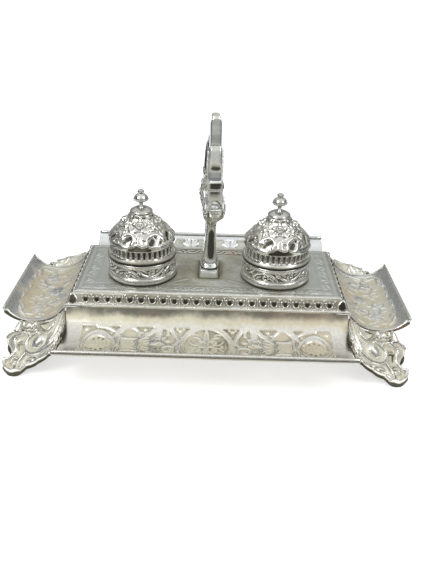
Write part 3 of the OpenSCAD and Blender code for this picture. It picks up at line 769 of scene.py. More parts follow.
def wing_relief(u, v):
    """Scrolls and flowers over the wing, and its tarnish; v is nought at the moulding."""
    sheet = Relief(u, v)
    far = v[-1]
    outline = bend([-43 + 3j, -43.5 + 12j, -42.0 + 22j, -43.5 + 31j, -41 + far * 1j - 12j,
                    -28 + far * 1j - 9j, -12 + far * 1j - 7.5j, far * 1j - 9j])
    sheet.fill(np.concatenate((outline, -np.conj(outline[::-1]))), CHASED, "cut")
    sheet.ground = -CHASED
    top = CHASED * 1.25
    rosette(sheet.on(far * 0.4j), 8, 7.0, top)
    rosette(sheet.on(far * 0.4j), 8, 4.2, top * 1.3, 22)
    for half in sheet.halves():
        for x, level, way, size, flip, reach in SCROLLS:
            scroll(half.on(x + far * level * 1j, way, size, flip), reach, 1.5, top)
        for spot, way in EDGE_LEAVES:
            if spot.imag < far - 7:
                leaf(half.on(spot, way), [-3.2, 0.6j, 3.2], 1.5, top * 1.3)
        for spot in BERRIES:
            half.ball(spot, 1.0, top * 1.2)
    sheet.soften()
    return sheet.height, sheet.hollow(3, 0.75, 0.5, 22)


for name, side in (("left_tray", -1), ("right_tray", 1)):
    shell, place = rolled(wing_relief, WING_HALF, (WING_SPAN, WING_FALL), PLATE + FILLET, side,
                          WING_PITCH, (1, 0, 2))
    lip_end = WING_HALF - WING_LIP_ENDS
    route = [(side * WING_LIP_X, y, WING_LIP_Z) for y in np.linspace(-lip_end, lip_end, 24)]
    # The lip's wire has painted shade on its lower side.
    rims = [tube(route, WING_LIP, under=1.2)]
    # Each end is folded over a wire that thickens towards the outer corner; painted shade covers all of the
    # wire but its top.
    along_wire = place[WIRE_STEP::WIRE_STEP]
    thick = WIRE + WIRE_SWELL * np.linspace(0, 1, len(along_wire)) ** 3
    for end in (-1, 1):
        edge = [(side * (PLATE + FILLET + out), end * (WING_HALF - t + WING_LIP_ENDS), z + WIRE_RISE - t)
                for (out, z), t in zip(along_wire, thick)]
        rims.append(tube(edge, thick, under=1.8, below=0.55))
    made = piece(name + "_sheet", [shell, *rims], wing_silver)
    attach(made, "stand")
    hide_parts(name)


# ---- Platform top ----------------------------------------------------------------------
# A flat plate lies on the brass frame. A running border of scrolls is chased along its edges,
# two round holes take the glass wells, and the bare middle has gone dull and yellow.
TOP_X, TOP_Y = 98.8, 41.15
TOP_Z, TOP_UNDER = 46.0, 44.8
WELL_X, WELL_Y = 52.3, -7.5
WELL_HOLE = 22.5
TOP_PITCH = 0.68
BORDER_X, BORDER_Y = 91.6, 34.2
RUBBED_X, RUBBED_Y = 76, 28
# The reach of the painted shadow round each well's foot, and the box that the block's painted shade and dirt
# lie round
WELL_SHADOW_REACH = 25.0
BLOCK_SHADE_AND_DIRT_X, BLOCK_SHADE_AND_DIRT_Y = 7, 15
platform_silver = silver("platform_silver", (0.82, 0.84, 0.82), (0.36, 0.35, 0.26), (0.1, 0.09, 0.06),
                         age=0.3, gloss=0.36, grain=0.8, stain=0.5)


def border(pen, reach, repeats, height):
    """One side of the chased border: a wave of stems with a leaf and a bud in every turn."""
    length = 2 * reach / repeats
    for k in range(repeats):
        turn = pen.on(-reach + (k + 0.5) * length)
        way = 1 if k % 2 else -1
        turn.stroke([-length / 2, -length * 0.25 + way * 2.6j, length * 0.1 + way * 2.2j, length / 2],
                    (0.55,), height, 0, "add")
        turn.line(curl(0.5 - way * 0.6j, 2.3, 0.5, 90 * way, 90 * way - 330, 18), 0.45, height, 0, "add")
        for side in (-1, 1):
            leaf_tip = side * length * 0.3 - way * 2.4j
            turn.line([leaf_tip * 0.45, leaf_tip], [0.9, 0.25], height, 0, "add")
        turn.ball(length * 0.42 + way * 2.3j, 0.8, height, "add")


def from_wells(x, y):
    """The distance to the nearer well's axis."""
    return np.minimum(np.hypot(x - WELL_X, y - WELL_Y), np.hypot(x + WELL_X, y - WELL_Y))


def top_relief(x, y):
    """Borders along the four edges between two fine grooves, and a rosette in each corner."""
    sheet = Relief(x, y)
    for offset, turn, reach, repeats in ((-BORDER_Y * 1j, 0, 86, 16), (BORDER_Y * 1j, 180, 86, 16),
                                         (-BORDER_X, 90, 29, 5), (BORDER_X, -90, 29, 5)):
        border(sheet.on(offset, turn), reach, repeats, 0.5)
    for inset, depth in ((3.0, 0.22), (11.6, 0.16)):
        corner = TOP_X - inset + 1j * (TOP_Y - inset)
        sheet.line([corner, np.conj(corner), -corner, -np.conj(corner), corner], 0.75, depth, 0.2, "cut")
    for spot in (TOP_X - 7.4 + 1j * (TOP_Y - 7.2), -TOP_X + 7.4 + 1j * (TOP_Y - 7.2)):
        for corner in (spot, np.conj(spot)):
            rosette(sheet.on(corner), 5, 3.2, 0.3)
    for side in (-1, 1):
        for k in range(5):
            spot = side * (26 - 2.2 * k) + 1j * (-24 + 1.2 * k)
            leaf(sheet.on(spot, 90 + side * 70), [-3, 0.5j, 3], 1.1, 0.3)
    sheet.soften()
    return sheet


def platform_top():
    """The chased plate with its two round holes, a closed sheet."""
    x, y = (np.linspace(-half, half, int(2 * half / TOP_PITCH) + 1) for half in (TOP_X, TOP_Y))
    sheet = top_relief(x, y)
    grid_x, grid_y = np.meshgrid(x, y, indexing="ij")
    # Rubbed bright at the two ends and the front edge; painted shadow round the foot of each well, and
    # painted shade with dirt round the block.
    round_well = np.maximum(from_wells(grid_x, grid_y) - WELL_SHADOW_REACH, 0)
    round_block = np.hypot(np.maximum(abs(grid_x) - BLOCK_SHADE_AND_DIRT_X, 0),
                           np.maximum(abs(grid_y) - BLOCK_SHADE_AND_DIRT_Y, 0))
    hollow = (sheet.hollow(4, 0.12) - 1.1 * np.clip((abs(grid_x) - RUBBED_X) / 8, 0, 1)
              - 0.6 * np.clip((-grid_y - RUBBED_Y) / 5, 0, 1) + 1.3 * np.exp(-(round_well / 1.3) ** 2)
              + 0.7 * np.exp(-(round_block / 3) ** 2))
    # The grid's nearest points are drawn to each hole's edge, and those inside it are left out.
    for well_x in (-WELL_X, WELL_X):
        away = np.hypot(grid_x - well_x, grid_y - WELL_Y)
        pull = np.where(abs(away - WELL_HOLE) < TOP_PITCH * 0.71, WELL_HOLE / np.maximum(away, 1), 1)
        grid_x = well_x + (grid_x - well_x) * pull
        grid_y = WELL_Y + (grid_y - WELL_Y) * pull
    work = bmesh.new()
    shade = work.verts.layers.float.new("hollow")
    verts = {}
    for i, j in zip(*np.nonzero(from_wells(grid_x, grid_y) > WELL_HOLE - 0.01)):
        made = work.verts.new((grid_x[i, j] * MM, grid_y[i, j] * MM, (TOP_Z + sheet.height[i, j]) * MM))
        made[shade] = hollow[i, j]
        verts[i, j] = made
    for i in range(len(x) - 1):
        for j in range(len(y) - 1):
            ring = [verts[k] for k in ((i, j), (i + 1, j), (i + 1, j + 1), (i, j + 1)) if k in verts]
            if len(ring) > 2:
                work.faces.new(ring).smooth = True
    rim = [edge for edge in work.edges if edge.is_boundary]
    under = bmesh.ops.duplicate(work, geom=list(work.faces))
    for made in under["geom"]:
        if isinstance(made, bmesh.types.BMVert):
            made.co.z = TOP_UNDER * MM
    bmesh.ops.reverse_faces(work, faces=[f for f in under["geom"] if isinstance(f, bmesh.types.BMFace)])
    match = under["vert_map"]
    for edge in rim:
        loop = next(corner for corner in edge.link_faces[0].loops if corner.edge == edge)
        a, b = loop.vert, loop.link_loop_next.vert
        work.faces.new((b, a, match[a], match[b]))
    mesh = bpy.data.meshes.new("platform_plate")
    work.to_mesh(mesh)
    work.free()
    return mesh


made = piece("platform_plate", [platform_top()], platform_silver)
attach(made, "stand")
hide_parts("platform_top")


# ---- Egg and dart moulding -------------------------------------------------------------
# Four cast lengths, mitred at the corners, hide the edge of the plate. Eggs in raised collars
# stand on their slope with darts between, under a thin bead; a leaf covers each mitre.
EGG_PITCH = 8.3
EGGS_LONG, EGGS_SHORT = 23, 9
EGG_OUT, EGG_Z = 4.55, 41.0
SLOPE = math.radians(62.6)
moulding_silver = silver("moulding_silver", (0.95, 0.95, 0.9), (0.36, 0.345, 0.27), (0.035, 0.03, 0.02),
                         gloss=0.16)
MOULDING = [(0, 36), (0, 44.75), (0.85, 44.75), (0.85, 45.75), (1.05, 46.0), (1.7, 46.0), (2.2, 45.75),
            (2.5, 45.3), (2.5, 44.6), (3.1, 43.8), (3.5, 43.0), (5.4, 39.3), (6.0, 38.2), (6.6, 37.7),
            (7.6, 37.5), (8.1, 37.3), (8.4, 36.9), (8.4, 36)]
MOULDING_SHADE = [0, 0, 0, 0, -0.3, -0.3, -0.2, 0, 0.3, 0.45, 0.5, 0.5, 0.45, 0.2, 0, -0.3, -0.3, 0]


def prism(near, far, hollow):
    """A form with flat faces between two outlines of as many points."""
    count = len(near)
    faces = [list(range(count)), list(range(2 * count - 1, count - 1, -1))]
    faces += [[k, count + k, count + (k + 1) % count, (k + 1) % count] for k in range(count)]
    return solid(near + far, faces, hollow, 0)


def strip(long_half, face):
    """One mitred length of the moulding's section along X, facing -Y."""
    ends = [[(side * (long_half + o), -(face + o), z) for o, z in MOULDING] for side in (-1, 1)]
    return prism(*ends, np.tile(MOULDING_SHADE, 2))


def dome(points_u, points_v, place, hollow):
    """A small closed form from a grid of directions on a ball; hollow gives each point's tarnish and painted
    shade.
    """
    turns, lifts = np.meshgrid(np.linspace(0, 2 * math.pi, points_u, endpoint=False),
                               np.linspace(-math.pi / 2, math.pi / 2, points_v)[1:-1], indexing="ij")
    ring = np.stack((np.cos(turns) * np.cos(lifts), np.sin(lifts), np.sin(turns) * np.cos(lifts)), -1)
    grid = np.arange(turns.size).reshape(turns.shape)
    grid = np.vstack((grid, grid[:1]))
    faces = quads(grid).tolist()
    points = np.vstack((ring.reshape(-1, 3), [(0, -1, 0), (0, 1, 0)]))
    south, north = len(points) - 2, len(points) - 1
    for here, following in zip(grid.tolist(), grid[1:].tolist()):
        faces += [[south, here[0], following[0]], [north, following[-1], here[-1]]]
    return solid(place(points), faces, hollow(points))


def on_slope(x, up, lift):
    """A place on the slope of the front moulding: up the slope and out of it, from an egg's middle."""
    rise, run = math.sin(SLOPE), math.cos(SLOPE)
    return x, -(lift * rise - up * run), lift * run + up * rise


def egg_place(points):
    """A ball drawn out into an egg that narrows upwards."""
    return np.array([on_slope(1.55 * a * (1 - 0.18 * b), 2.35 * b + 0.1, 1.5 * c) for a, b, c in points])


def egg_painted_shade(points):
    """Painted shade, nearly black, at an egg's lower end, fading towards the top."""
    return np.interp(points[:, 1], [0.1, 0.75], [1.5, 0.1])


def egg_unit():
    """An egg, its collar and half of a dart on each side, about the middle of the slope."""
    turns = np.radians(np.linspace(-205, 25, 13))
    dart = EGG_PITCH / 2
    parts = [dome(12, 9, egg_place, egg_painted_shade),
             tube([on_slope(2.75 * math.cos(t), 3.1 * math.sin(t) + 0.15, 0.25) for t in turns], 0.52, 7),
             tube([on_slope(dart, up, 0.15) for up in (3.0, 1.2, -1.0, -3.1)], [0.75, 0.5, 0.75, 0.2], 6)]
    parts += [tube([on_slope(dart + 0.25 * side, 3.1, 0.2), on_slope(dart + 1.3 * side, 3.2, 0.2)], 0.4, 5)
              for side in (1, -1)]
    made = piece("egg_unit", parts, moulding_silver)
    made.hide_render = True
    return made


def row_tree():
    """Copies of one unit along X, centred, with its count and pitch as inputs."""
    tree = bpy.data.node_groups.new("row_of_eggs", "GeometryNodeTree")
    sockets(tree, "INPUT", Geometry="Geometry", Object="Unit", Int="Count", Float="Pitch", Material="Finish")
    sockets(tree, "OUTPUT", Geometry="Geometry")
    given = node(tree, "NodeGroupInput").outputs
    reach = combine(tree, "MULTIPLY", combine(tree, "SUBTRACT", given["Count"], 1), given["Pitch"])
    start = node(tree, "ShaderNodeCombineXYZ", X=combine(tree, "MULTIPLY", reach, -0.5)).outputs[0]
    step = node(tree, "ShaderNodeCombineXYZ", X=given["Pitch"]).outputs[0]
    line = node(tree, "GeometryNodeMeshLine", Count=given["Count"], Start_Location=start, Offset=step)
    unit = node(tree, "GeometryNodeObjectInfo", Object=given["Unit"]).outputs["Geometry"]
    copies = node(tree, "GeometryNodeInstanceOnPoints", Points=line.outputs[0], Instance=unit).outputs[0]
    whole = node(tree, "GeometryNodeRealizeInstances", Geometry=copies).outputs[0]
    finish = node(tree, "GeometryNodeSetMaterial", Geometry=whole, Material=given["Finish"]).outputs[0]
    node(tree, "NodeGroupOutput", Geometry=finish)
    return tree


def grown(tree, **values):
    """The plain mesh that a geometry tree makes with these inputs."""
    holder = placed("holder", bpy.data.meshes.new("holder"))
    modifier = holder.modifiers.new("tree", "NODES")
    modifier.node_group = tree
    for item in tree.interface.items_tree:
        if item.in_out == "INPUT" and item.name in values:
            modifier[item.identifier] = values[item.name]
    ready = holder.evaluated_get(bpy.context.evaluated_depsgraph_get())
    mesh = bpy.data.meshes.new_from_object(ready)
    holder.modifiers.clear()
    bpy.data.objects.remove(holder)
    return mesh


egg = egg_unit()
rows = row_tree()
for name, count, long_half, face, turn in (("moulding_front", EGGS_LONG, PLATE, PLATE_DEEP, 0),
                                           ("moulding_rear", EGGS_LONG, PLATE, PLATE_DEEP, 180),
                                           ("moulding_left", EGGS_SHORT, PLATE_DEEP, PLATE, -90),
                                           ("moulding_right", EGGS_SHORT, PLATE_DEEP, PLATE, 90)):
    eggs = grown(rows, Unit=egg, Count=count, Pitch=EGG_PITCH * MM, Finish=moulding_silver)
    eggs.transform(Matrix.Translation(Vector((0, -(face + EGG_OUT), EGG_Z)) * MM))
    made = piece(name + "_casting", [strip(long_half, face), eggs], moulding_silver)
    made.data.transform(Matrix.Rotation(math.radians(turn), 4, "Z"))
    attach(made, "stand")
    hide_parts(name)
bpy.data.objects.remove(egg)


def leaf_shade(points):
    """Dark in its two hollows, bright on the rim and the midrib."""
    return np.where((points[:, 2] < 0.5) | (abs(points[:, 0]) < 0.14), -0.4, 1.1)


def mitre_leaf(side_x, side_y):
    """A broad leaf with a sharp midrib and a raised rim, folded over the mitre."""
    way = math.atan2(side_y, side_x) + math.pi / 2
    c, s = math.cos(way), math.sin(way)

    def place(points):
        x = points[:, 0] * 5.0 * (1 - 0.3 * points[:, 1])
        ridge = np.exp(-(points[:, 0] / 0.16) ** 2) * 0.6
        flat = np.array([on_slope(a, 4.3 * b, (1.5 + r) * c - 0.72 * abs(a) + 0.2)
                         for a, b, c, r in zip(x, points[:, 1], points[:, 2], ridge)])
        turned = np.stack((flat[:, 0] * c - flat[:, 1] * s, flat[:, 0] * s + flat[:, 1] * c, flat[:, 2]), -1)
        return turned + np.array([side_x * (PLATE + EGG_OUT), side_y * (PLATE_DEEP + EGG_OUT), EGG_Z])

    return dome(32, 17, place, leaf_shade)


made = piece("mitre_leaves", [mitre_leaf(x, y) for x in (-1, 1) for y in (-1, 1)], moulding_silver)
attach(made, "stand")
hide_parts("corner_leaves")


# ---- Feet ------------------------------------------------------------------------------
# Four bold castings carry the corners. Each has ribbed acanthus at its root, two volutes, an
# oval boss in a moulded frame and a ridge that runs down to a lobed toe.
FOOT_AT = (106.4, -48.75)
FOOT_TURN = -53.0
FOOT_LENGTH = 53.0
SCREW_AT = (92.3, -34.65)
LUG_TOP, LUG_UNDER, LUG_HALF = 29.5, 25.0, 5.0
INNER_EDGE = [(0, 4), (7, 9), (15, 15), (20, 16.5), (24, 19), (28, 19.2), (31, 16.9), (34, 14.2), (38, 10.8),
              (41, 7.6), (43, 5.6), (45.5, 5.2), (48, 4.6), (50, 2.8), (52, 0.4), (53, -2)]
OUTER_EDGE = [(0, -8), (17, -25), (24, -27), (30, -26), (34.5, -27.6), (37, -25), (38.4, -19.5),
              (40.5, -15.4), (43.5, -15), (45.5, -17), (48, -17), (50.5, -14), (52, -9.5), (53, -5)]
FOOT_BACK = [(-4, 33.2), (3, 32.7), (9, 31), (15, 28.2), (20, 25), (26, 20.8), (32, 15.8), (37, 11.4),
             (41, 8.2), (45, 5.8), (49, 4.6), (53, 3.2), (56, 2.2)]
FOOT_SOLE = [(0, 24.4), (5, 21.7), (9, 20.5), (15, 18.7), (20, 16.5), (26, 12.9), (32, 8.7), (37, 4.9),
             (41, 2.1), (44, 0.3), (46, 0), (56, 0)]
FOOT_THIN = [(0, 27.8), (5, 28.4), (9, 28.0), (15, 25.3), (20, 22.1), (26, 17.9), (32, 12.9), (37, 8.3),
             (41, 5.0), (44, 3.6), (47, 2.2), (50, 0.4), (52, 0)]
WING_EDGE = 48.1
SIGHT = math.tan(math.radians(29))
RELIEF_PITCH = 0.36
STEPS_ALONG, STEPS_ACROSS = 149, 97
OPEN_ABOVE = 60.0
SCALLOP, SCALLOP_PITCH = 0.9, 6.2
SHORT_WALL, LONG_WALL = 0.7536, 1.327
UNDER_SIGHT = 2.2
SLIDE = 1.33
ROOT_RELIEF = 0.35
foot_silver = silver("foot_silver", (0.9, 0.9, 0.85), (0.71, 0.69, 0.57), (0.09, 0.08, 0.055),
                     age=0.2, gloss=0.22, stain=0.15)


# Strokes of the carving: points along each, its half width at the start and the end, its height.
FOOT_STROKES = (
    # The cup's lip and the ring round the boss
    ([9.6 - 1.6j, 11.0 + 1.6j, 14.0 + 3.9j, 17.1 + 4.7j, 19.8 + 3.7j, 21.6 + 0.2j, 21.4 - 4.7j, 19.9 - 8.5j,
      18.0 - 10.1j, 15.6 - 10.5j], 0.9, 0.9, 2.0),
    ([19.9 + 13.2j, 24.4 + 14.0j, 28.3 + 12.2j, 31.0 + 10.2j, 33.9 + 7.4j, 35.8 + 2.4j, 35.3 - 2.3j],
     1.0, 1.2, 2.2),
    ([23.9 - 2.7j, 26.3 - 5.0j, 29.1 - 6.6j, 31.9 - 6.6j, 33.8 - 5.1j, 35.5 - 2.0j], 0.8, 1.2, 2.2),
    # The ridge to the toe and the wave beside it
    ([35.5 - 2.0j, 39.4 - 2.4j, 42.8 - 2.6j, 45.4 - 2.0j, 47.6 - 0.4j, 49.2 + 1.2j], 1.3, 1.2, 2.2),
    ([27.5 - 14.3j, 29.9 - 16.5j, 33.0 - 17.9j, 35.3 - 16.4j, 36.9 - 13.1j, 39.4 - 11.2j, 42.5 - 11.2j,
      45.7 - 12.8j, 47.4 - 15.0j], 1.1, 1.4, 2.5),
    ([27.9 - 19.0j, 29.4 - 23.2j, 32.2 - 25.3j, 34.6 - 26.7j], 0.8, 0.9, 1.6),
    ([32.3 - 6.8j, 32.5 - 10.8j, 33.7 - 13.7j], 0.7, 0.7, 1.4),
    ([21.0 - 7.7j, 22.8 - 5.9j, 24.3 - 7.5j, 25.7 - 9.7j, 27.4 - 9.6j], 0.8, 0.6, 1.4),
    # The volute, then the toe's rim and its small folds
    ([17.5 - 16.4j, 19.1 - 21.0j, 22.1 - 23.2j, 25.2 - 23.3j, 27.9 - 22.2j], 1.2, 1.2, 2.0),
    ([17.9 - 13.0j, 20.0 - 10.0j, 22.3 - 9.5j, 24.1 - 11.3j, 25.0 - 14.9j, 24.6 - 18.2j, 22.4 - 18.8j],
     0.9, 1.3, 3.0),
    ([46.4 - 15.4j, 48.9 - 13.4j, 50.9 - 9.4j, 51.7 - 4.4j, 50.9 - 0.6j, 49.2 + 2.0j], 1.2, 1.3, 1.8),
    ([42.1 + 1.6j, 44.9 + 1.4j, 47.6 + 1.6j], 0.6, 0.6, 1.0),
    ([41.4 + 4.0j, 44.0 + 3.6j, 46.6 + 3.4j], 0.6, 0.6, 1.0),
    ([36.4 + 9.3j, 36.9 + 5.1j, 38.6 + 2.1j], 0.5, 0.5, 0.7),
    ([38.6 + 6.4j, 39.4 + 4.2j, 40.6 + 1.8j], 0.5, 0.5, 0.6))


def foot_relief():
    """The foot's carving; u runs out along the foot and v across it towards the long tray."""
    sheet = Relief(np.arange(-2, 59, RELIEF_PITCH), np.arange(-31, 25, RELIEF_PITCH))
    # The sunk cup, the channel beside the ridge and the hollow of the toe
    sheet.ball(16.4 - 2.6j, 6.4, 2.2, "cut")
    sheet.ball(15.0 - 3.2j, 2.4, 0.9, "cut")
    sheet.stroke([29.5 - 11.0j, 33.4 - 12.4j, 37.6 - 7.6j, 42.4 - 7.4j], (2.2, 2.6, 1.2), 1.0, 0.3, "cut")
    sheet.stroke([19.5 - 13.8j, 19.8 - 18.2j, 21.7 - 20.8j, 24.4 - 20.6j, 26.4 - 18.4j, 27.6 - 14.7j],
                 (1.2,), 1.1, 0.2, "cut")
    sheet.ball(47.8 - 2.6j, 1.6, 1.0, "cut")
    # Acanthus ribs beside the long tray
    for run in ([2 + 0.6j, 8 + 4.0j, 13.2 + 7.6j, 18.2 + 9.6j, 24.9 + 11.4j],
                [4 + 4.0j, 9 + 8.0j, 13.4 + 10.8j, 17.5 + 12.6j, 23.4 + 14.2j],
                [6 + 6.6j, 11 + 11.4j, 16 + 14.8j, 21.4 + 16.4j, 27.2 + 16.8j]):
        sheet.stroke(run, (0.7, 1.2), 1.4)
    for k in range(6):
        root = 8 + 3.8 * k + (8.5 + 1.6 * min(k, 4)) * 1j
        sheet.line([root, root + 2.4 + 3.4j], [0.4, 0.8], 0.9, 0.1)
    for run, start, end, height in FOOT_STROKES:
        sheet.stroke(run, (start, end), height)
    sheet.line(arc(44.6 - 6.4j, 2.8, -150, 140, 22), 0.8, 1.7, 0.1)
    sheet.ball(44.6 - 6.4j, 1.1, 1.3)
    sheet.ball(22.4 - 15.4j, 1.9, 1.9)
    # The oval boss
    sheet.on(28.1 + 2.1j, -27).line([-0.8, 0.8], 4.2, 3.2)
    sheet.soften()
    return sheet


def sample(sheet, field, u, v):
    """The field of a relief at any places, between its own points."""
    u, v = np.broadcast_arrays(u, v)
    step = sheet.u[1] - sheet.u[0]
    x = np.clip((u - sheet.u[0]) / step, 0, len(sheet.u) - 1.001)
    y = np.clip((v - sheet.v[0]) / step, 0, len(sheet.v) - 1.001)
    i, j = x.astype(int), y.astype(int)
    a, b = x - i, y - j
    return ((field[i, j] * (1 - a) + field[i + 1, j] * a) * (1 - b)
            + (field[i, j + 1] * (1 - a) + field[i + 1, j + 1] * a) * b)


def lug_mesh():
    """The flat ear under the corner that the foot's screw goes through."""
    away = np.array(FOOT_AT) - np.array(SCREW_AT)
    reach = np.linalg.norm(away) + 5
    away /= np.linalg.norm(away)
    side = np.array((-away[1], away[0]))
    round_end = [LUG_HALF * (side * math.cos(t) - away * math.sin(t)) for t in np.radians(range(40, 150, 10))]
    outline = [away * reach + side * 3.5, side * 3.5, *round_end, -side * 3.5, away * reach - side * 3.5]
    return prism(*([(*(SCREW_AT + p), z) for p in outline] for z in (LUG_UNDER, LUG_TOP)), 0.0)


def table_at(places, table):
    """The value of a table of (place, value) pairs at each place."""
    return np.interp(places, *np.array(table).T)


def within(values, start, length):
    """0 before the start, 1 after the length that follows it, and even between."""
    return np.clip((values - start) / length, 0, 1)


def foot_mesh(sheet, crisp):
    """crisp is the share of the carving's full height."""
    along = np.linspace(0.15, FOOT_LENGTH, STEPS_ALONG)
    share = np.linspace(0, 1, STEPS_ACROSS)
    scallop = SCALLOP * crisp ** 3 * abs(np.sin(along * math.pi / SCALLOP_PITCH))
    scallop = scallop * within(along, 4, 6) * np.clip((44 - along) / 6, 0, 1)
    edge_in = np.minimum(table_at(along, INNER_EDGE) + scallop - 0.6,
                         0.9 + SHORT_WALL * along + 2.6 * within(along, 5, 5))
    edge_out = np.maximum(table_at(along, OUTER_EDGE), -1.0 - LONG_WALL * along)[:, None]
    edge_in = edge_in[:, None]
    s = np.broadcast_to(along[:, None], (len(along), len(share)))
    q = edge_out + (edge_in - edge_out) * share
    c, d = math.cos(math.radians(FOOT_TURN)), math.sin(math.radians(FOOT_TURN))
    back = table_at(along, FOOT_BACK)[:, None] + 0 * q
    # Nothing stands above the side tray's edge as it is seen from in front.
    x, y = FOOT_AT[0] + s * c + q * d, FOOT_AT[1] + s * d - q * c
    tray = bowl(within(x, FOOT_AT[0], WING_SPAN), WING_FALL)
    limit = np.where(x > FOOT_AT[0], tray, OPEN_ABOVE) + SIGHT * (-WING_EDGE - y)
    floor = limit - UNDER_SIGHT
    base = np.minimum(back, floor) - 0.5 * np.clip(1 - abs(back - floor) / 2.0, 0, 1) ** 2
    sunk = blur(back - base, 3)
    base = back - sunk
    fall = blur(np.gradient(base, along, axis=0), 8)
    on_sheet = s + SLIDE * sunk, q + sunk
    root = ROOT_RELIEF + (1 - ROOT_RELIEF) * within(s, 7, 8)
    high = sample(sheet, sheet.height, *on_sheet) * crisp * root
    # The rim rolls over to the sole, which is thick under the hump and thin beside it.
    rim = np.minimum(np.minimum(q - edge_out, edge_in - q), FOOT_LENGTH - s)
    beside = np.clip((q + 3.4) / 1.4, 0, 1)
    sole = table_at(along, FOOT_SOLE)[:, None] * (1 - beside) + table_at(along, FOOT_THIN)[:, None] * beside
    roll = np.clip(base - sole - 1.4, 0.8, 4)
    high = high + 0.9 * np.exp(-((rim - 1.3) / 0.8) ** 2) - roll * np.clip(1 - rim / 1.7, 0, 1) ** 2
    tilt = np.hypot(fall, 1)
    cavity = sample(sheet, sheet.hollow(5, 0.8, 0.2), *on_sheet) * crisp
    # Lighter just inside the rim, and painted shade on the wall below it; the sole and the side walls get
    # painted shade too.
    cavity = cavity - 0.35 * np.exp(-((rim - 1.1) / 0.7) ** 2) + 1.7 * np.clip(1 - rim / 0.5, 0, 1)

    def world_grid(s_grid, z_grid):
        return np.stack((FOOT_AT[0] + s_grid * c + q * d, FOOT_AT[1] + s_grid * d - q * c,
                         np.maximum(z_grid, 0.02)), -1)

    front = world_grid(s + high * (-fall / tilt), np.minimum(base + high / tilt, limit - 0.05))
    return closed_sheet(front, world_grid(s, sole), cavity, 1.3)


carving = foot_relief()
for end_y, end_name, crisp in ((1, "front", 1.0), (-1, "rear", 0.55)):
    for end_x, side_name in ((-1, "left"), (1, "right")):
        made = piece(f"foot_{end_name}_{side_name}_casting", [foot_mesh(carving, crisp), lug_mesh()],
                     foot_silver)
        made.data.transform(Matrix.Diagonal((end_x, end_y, 1, 1)))
        if end_x * end_y < 0:
            made.data.flip_normals()
        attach(made, "stand")
        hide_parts(f"foot_{end_name}_{side_name}")

# ---- Handle ----------------------------------------------------------------------------
# A cast lyre on a square block stands between the wells. Its column is plain and polished;
# the limbs of the lyre swell into leaves and carry flat panels between turned steps.
BLOCK_X, BLOCK_Y, BLOCK_TOP = 7.5, 15.5, 52.0
HANDLE_TURN = 5.0
JOINT_GAP = 0.05
HANDLE_LEAN = 0.022
HANDLE_SIDE = [(13, 0), (13, 1.6), (10.4, 3.6), (8.8, 8), (7.6, 16), (6.7, 25), (6.2, 34), (8, 37),
               (14, 40.5), (20, 44), (24, 49), (25, 54), (24, 60), (22.2, 68.4), (22.9, 69.4), (22.9, 73.6),
               (21, 74.8), (20.4, 77), (18.5, 82), (15.5, 89), (12.8, 95), (11.2, 98), (12, 99.5),
               (9.8, 106), (7.5, 112), (6, 116.3), (4.5, 118.3)]
HANDLE_GAP = [(0, 47), (8, 48), (14, 51), (16.5, 55), (15.8, 61), (13.8, 69), (11, 78), (8, 87), (5, 95),
              (2, 101), (0, 103)]
HANDLE_FRONT = [(7.4, 0), (7.4, 1.6), (7, 4.5), (5.9, 10), (4.6, 20), (4.1, 32), (4.3, 36), (5.6, 40),
                (7.4, 45), (8.2, 51), (7.8, 58), (6, 68.4), (6.5, 69.4), (6.5, 73.6), (5.6, 74.8),
                (5.6, 98), (4.9, 98.6), (4.9, 116.5), (4, 119)]
HANDLE_HEART = 65.0
COLUMN_DEEP = 13
LYRE_PITCH, LEAF_PITCH = 0.62, 0.4
LEAF_REACH = 21
handle_silver = silver("handle_silver", (0.94, 0.96, 0.95), (0.55, 0.55, 0.47), (0.05, 0.05, 0.04),
                       gloss=0.14, grain=0.3)


def section(steps, corner):
    """A square section with rounded corners, as unit places (out of the face, across it)."""
    turn = np.linspace(0, 2 * math.pi, steps, endpoint=False)
    return (np.sign(wave) * abs(wave) ** (2 / corner) for wave in (np.cos(turn), np.sin(turn)))


def column():
    """From the flared foot to the spring of the lyre."""
    height = np.concatenate((np.linspace(0, 5, 16), np.linspace(5.6, 38, 50), [39, 40]))
    lines = []
    for side in (HANDLE_SIDE, HANDLE_FRONT):
        smooth = bend([complex(*p) for p in side[2:10]], 12)
        smooth = np.concatenate(([complex(*p) for p in side[:2]], smooth))
        lines.append(np.interp(height, smooth.imag, smooth.real))
    deep, wide = np.minimum(lines[0], COLUMN_DEEP), lines[1]
    out, over = section(48, 2.9)
    points = np.stack((wide[:, None] * over, deep[:, None] * out, height[:, None] + 0 * out), -1)
    leafy = np.clip((height - 30) / 6, 0, 1)[:, None] * np.cos(3 * np.arctan2(over, out)) ** 2
    points[..., :2] *= (1 + 0.06 * leafy)[..., None]
    # Painted reflection, dark down the middle of the shank and lighter along its edges, and painted shade
    # under its flare.
    shank_reflection = np.interp(height, [3, 8, 17, 27, 35], [0, 0.65, 1, 1, 0])[:, None]
    low = np.interp(height, [0, 1.2, 2.2, 30, 35, 40], [1.2, 0.9, -0.3, -0.3, 0.1, 0.5])[:, None]
    return points, 2.1 * np.exp(-((over - 0.05) / 0.66) ** 2) * shank_reflection + low - 0.3 * leafy


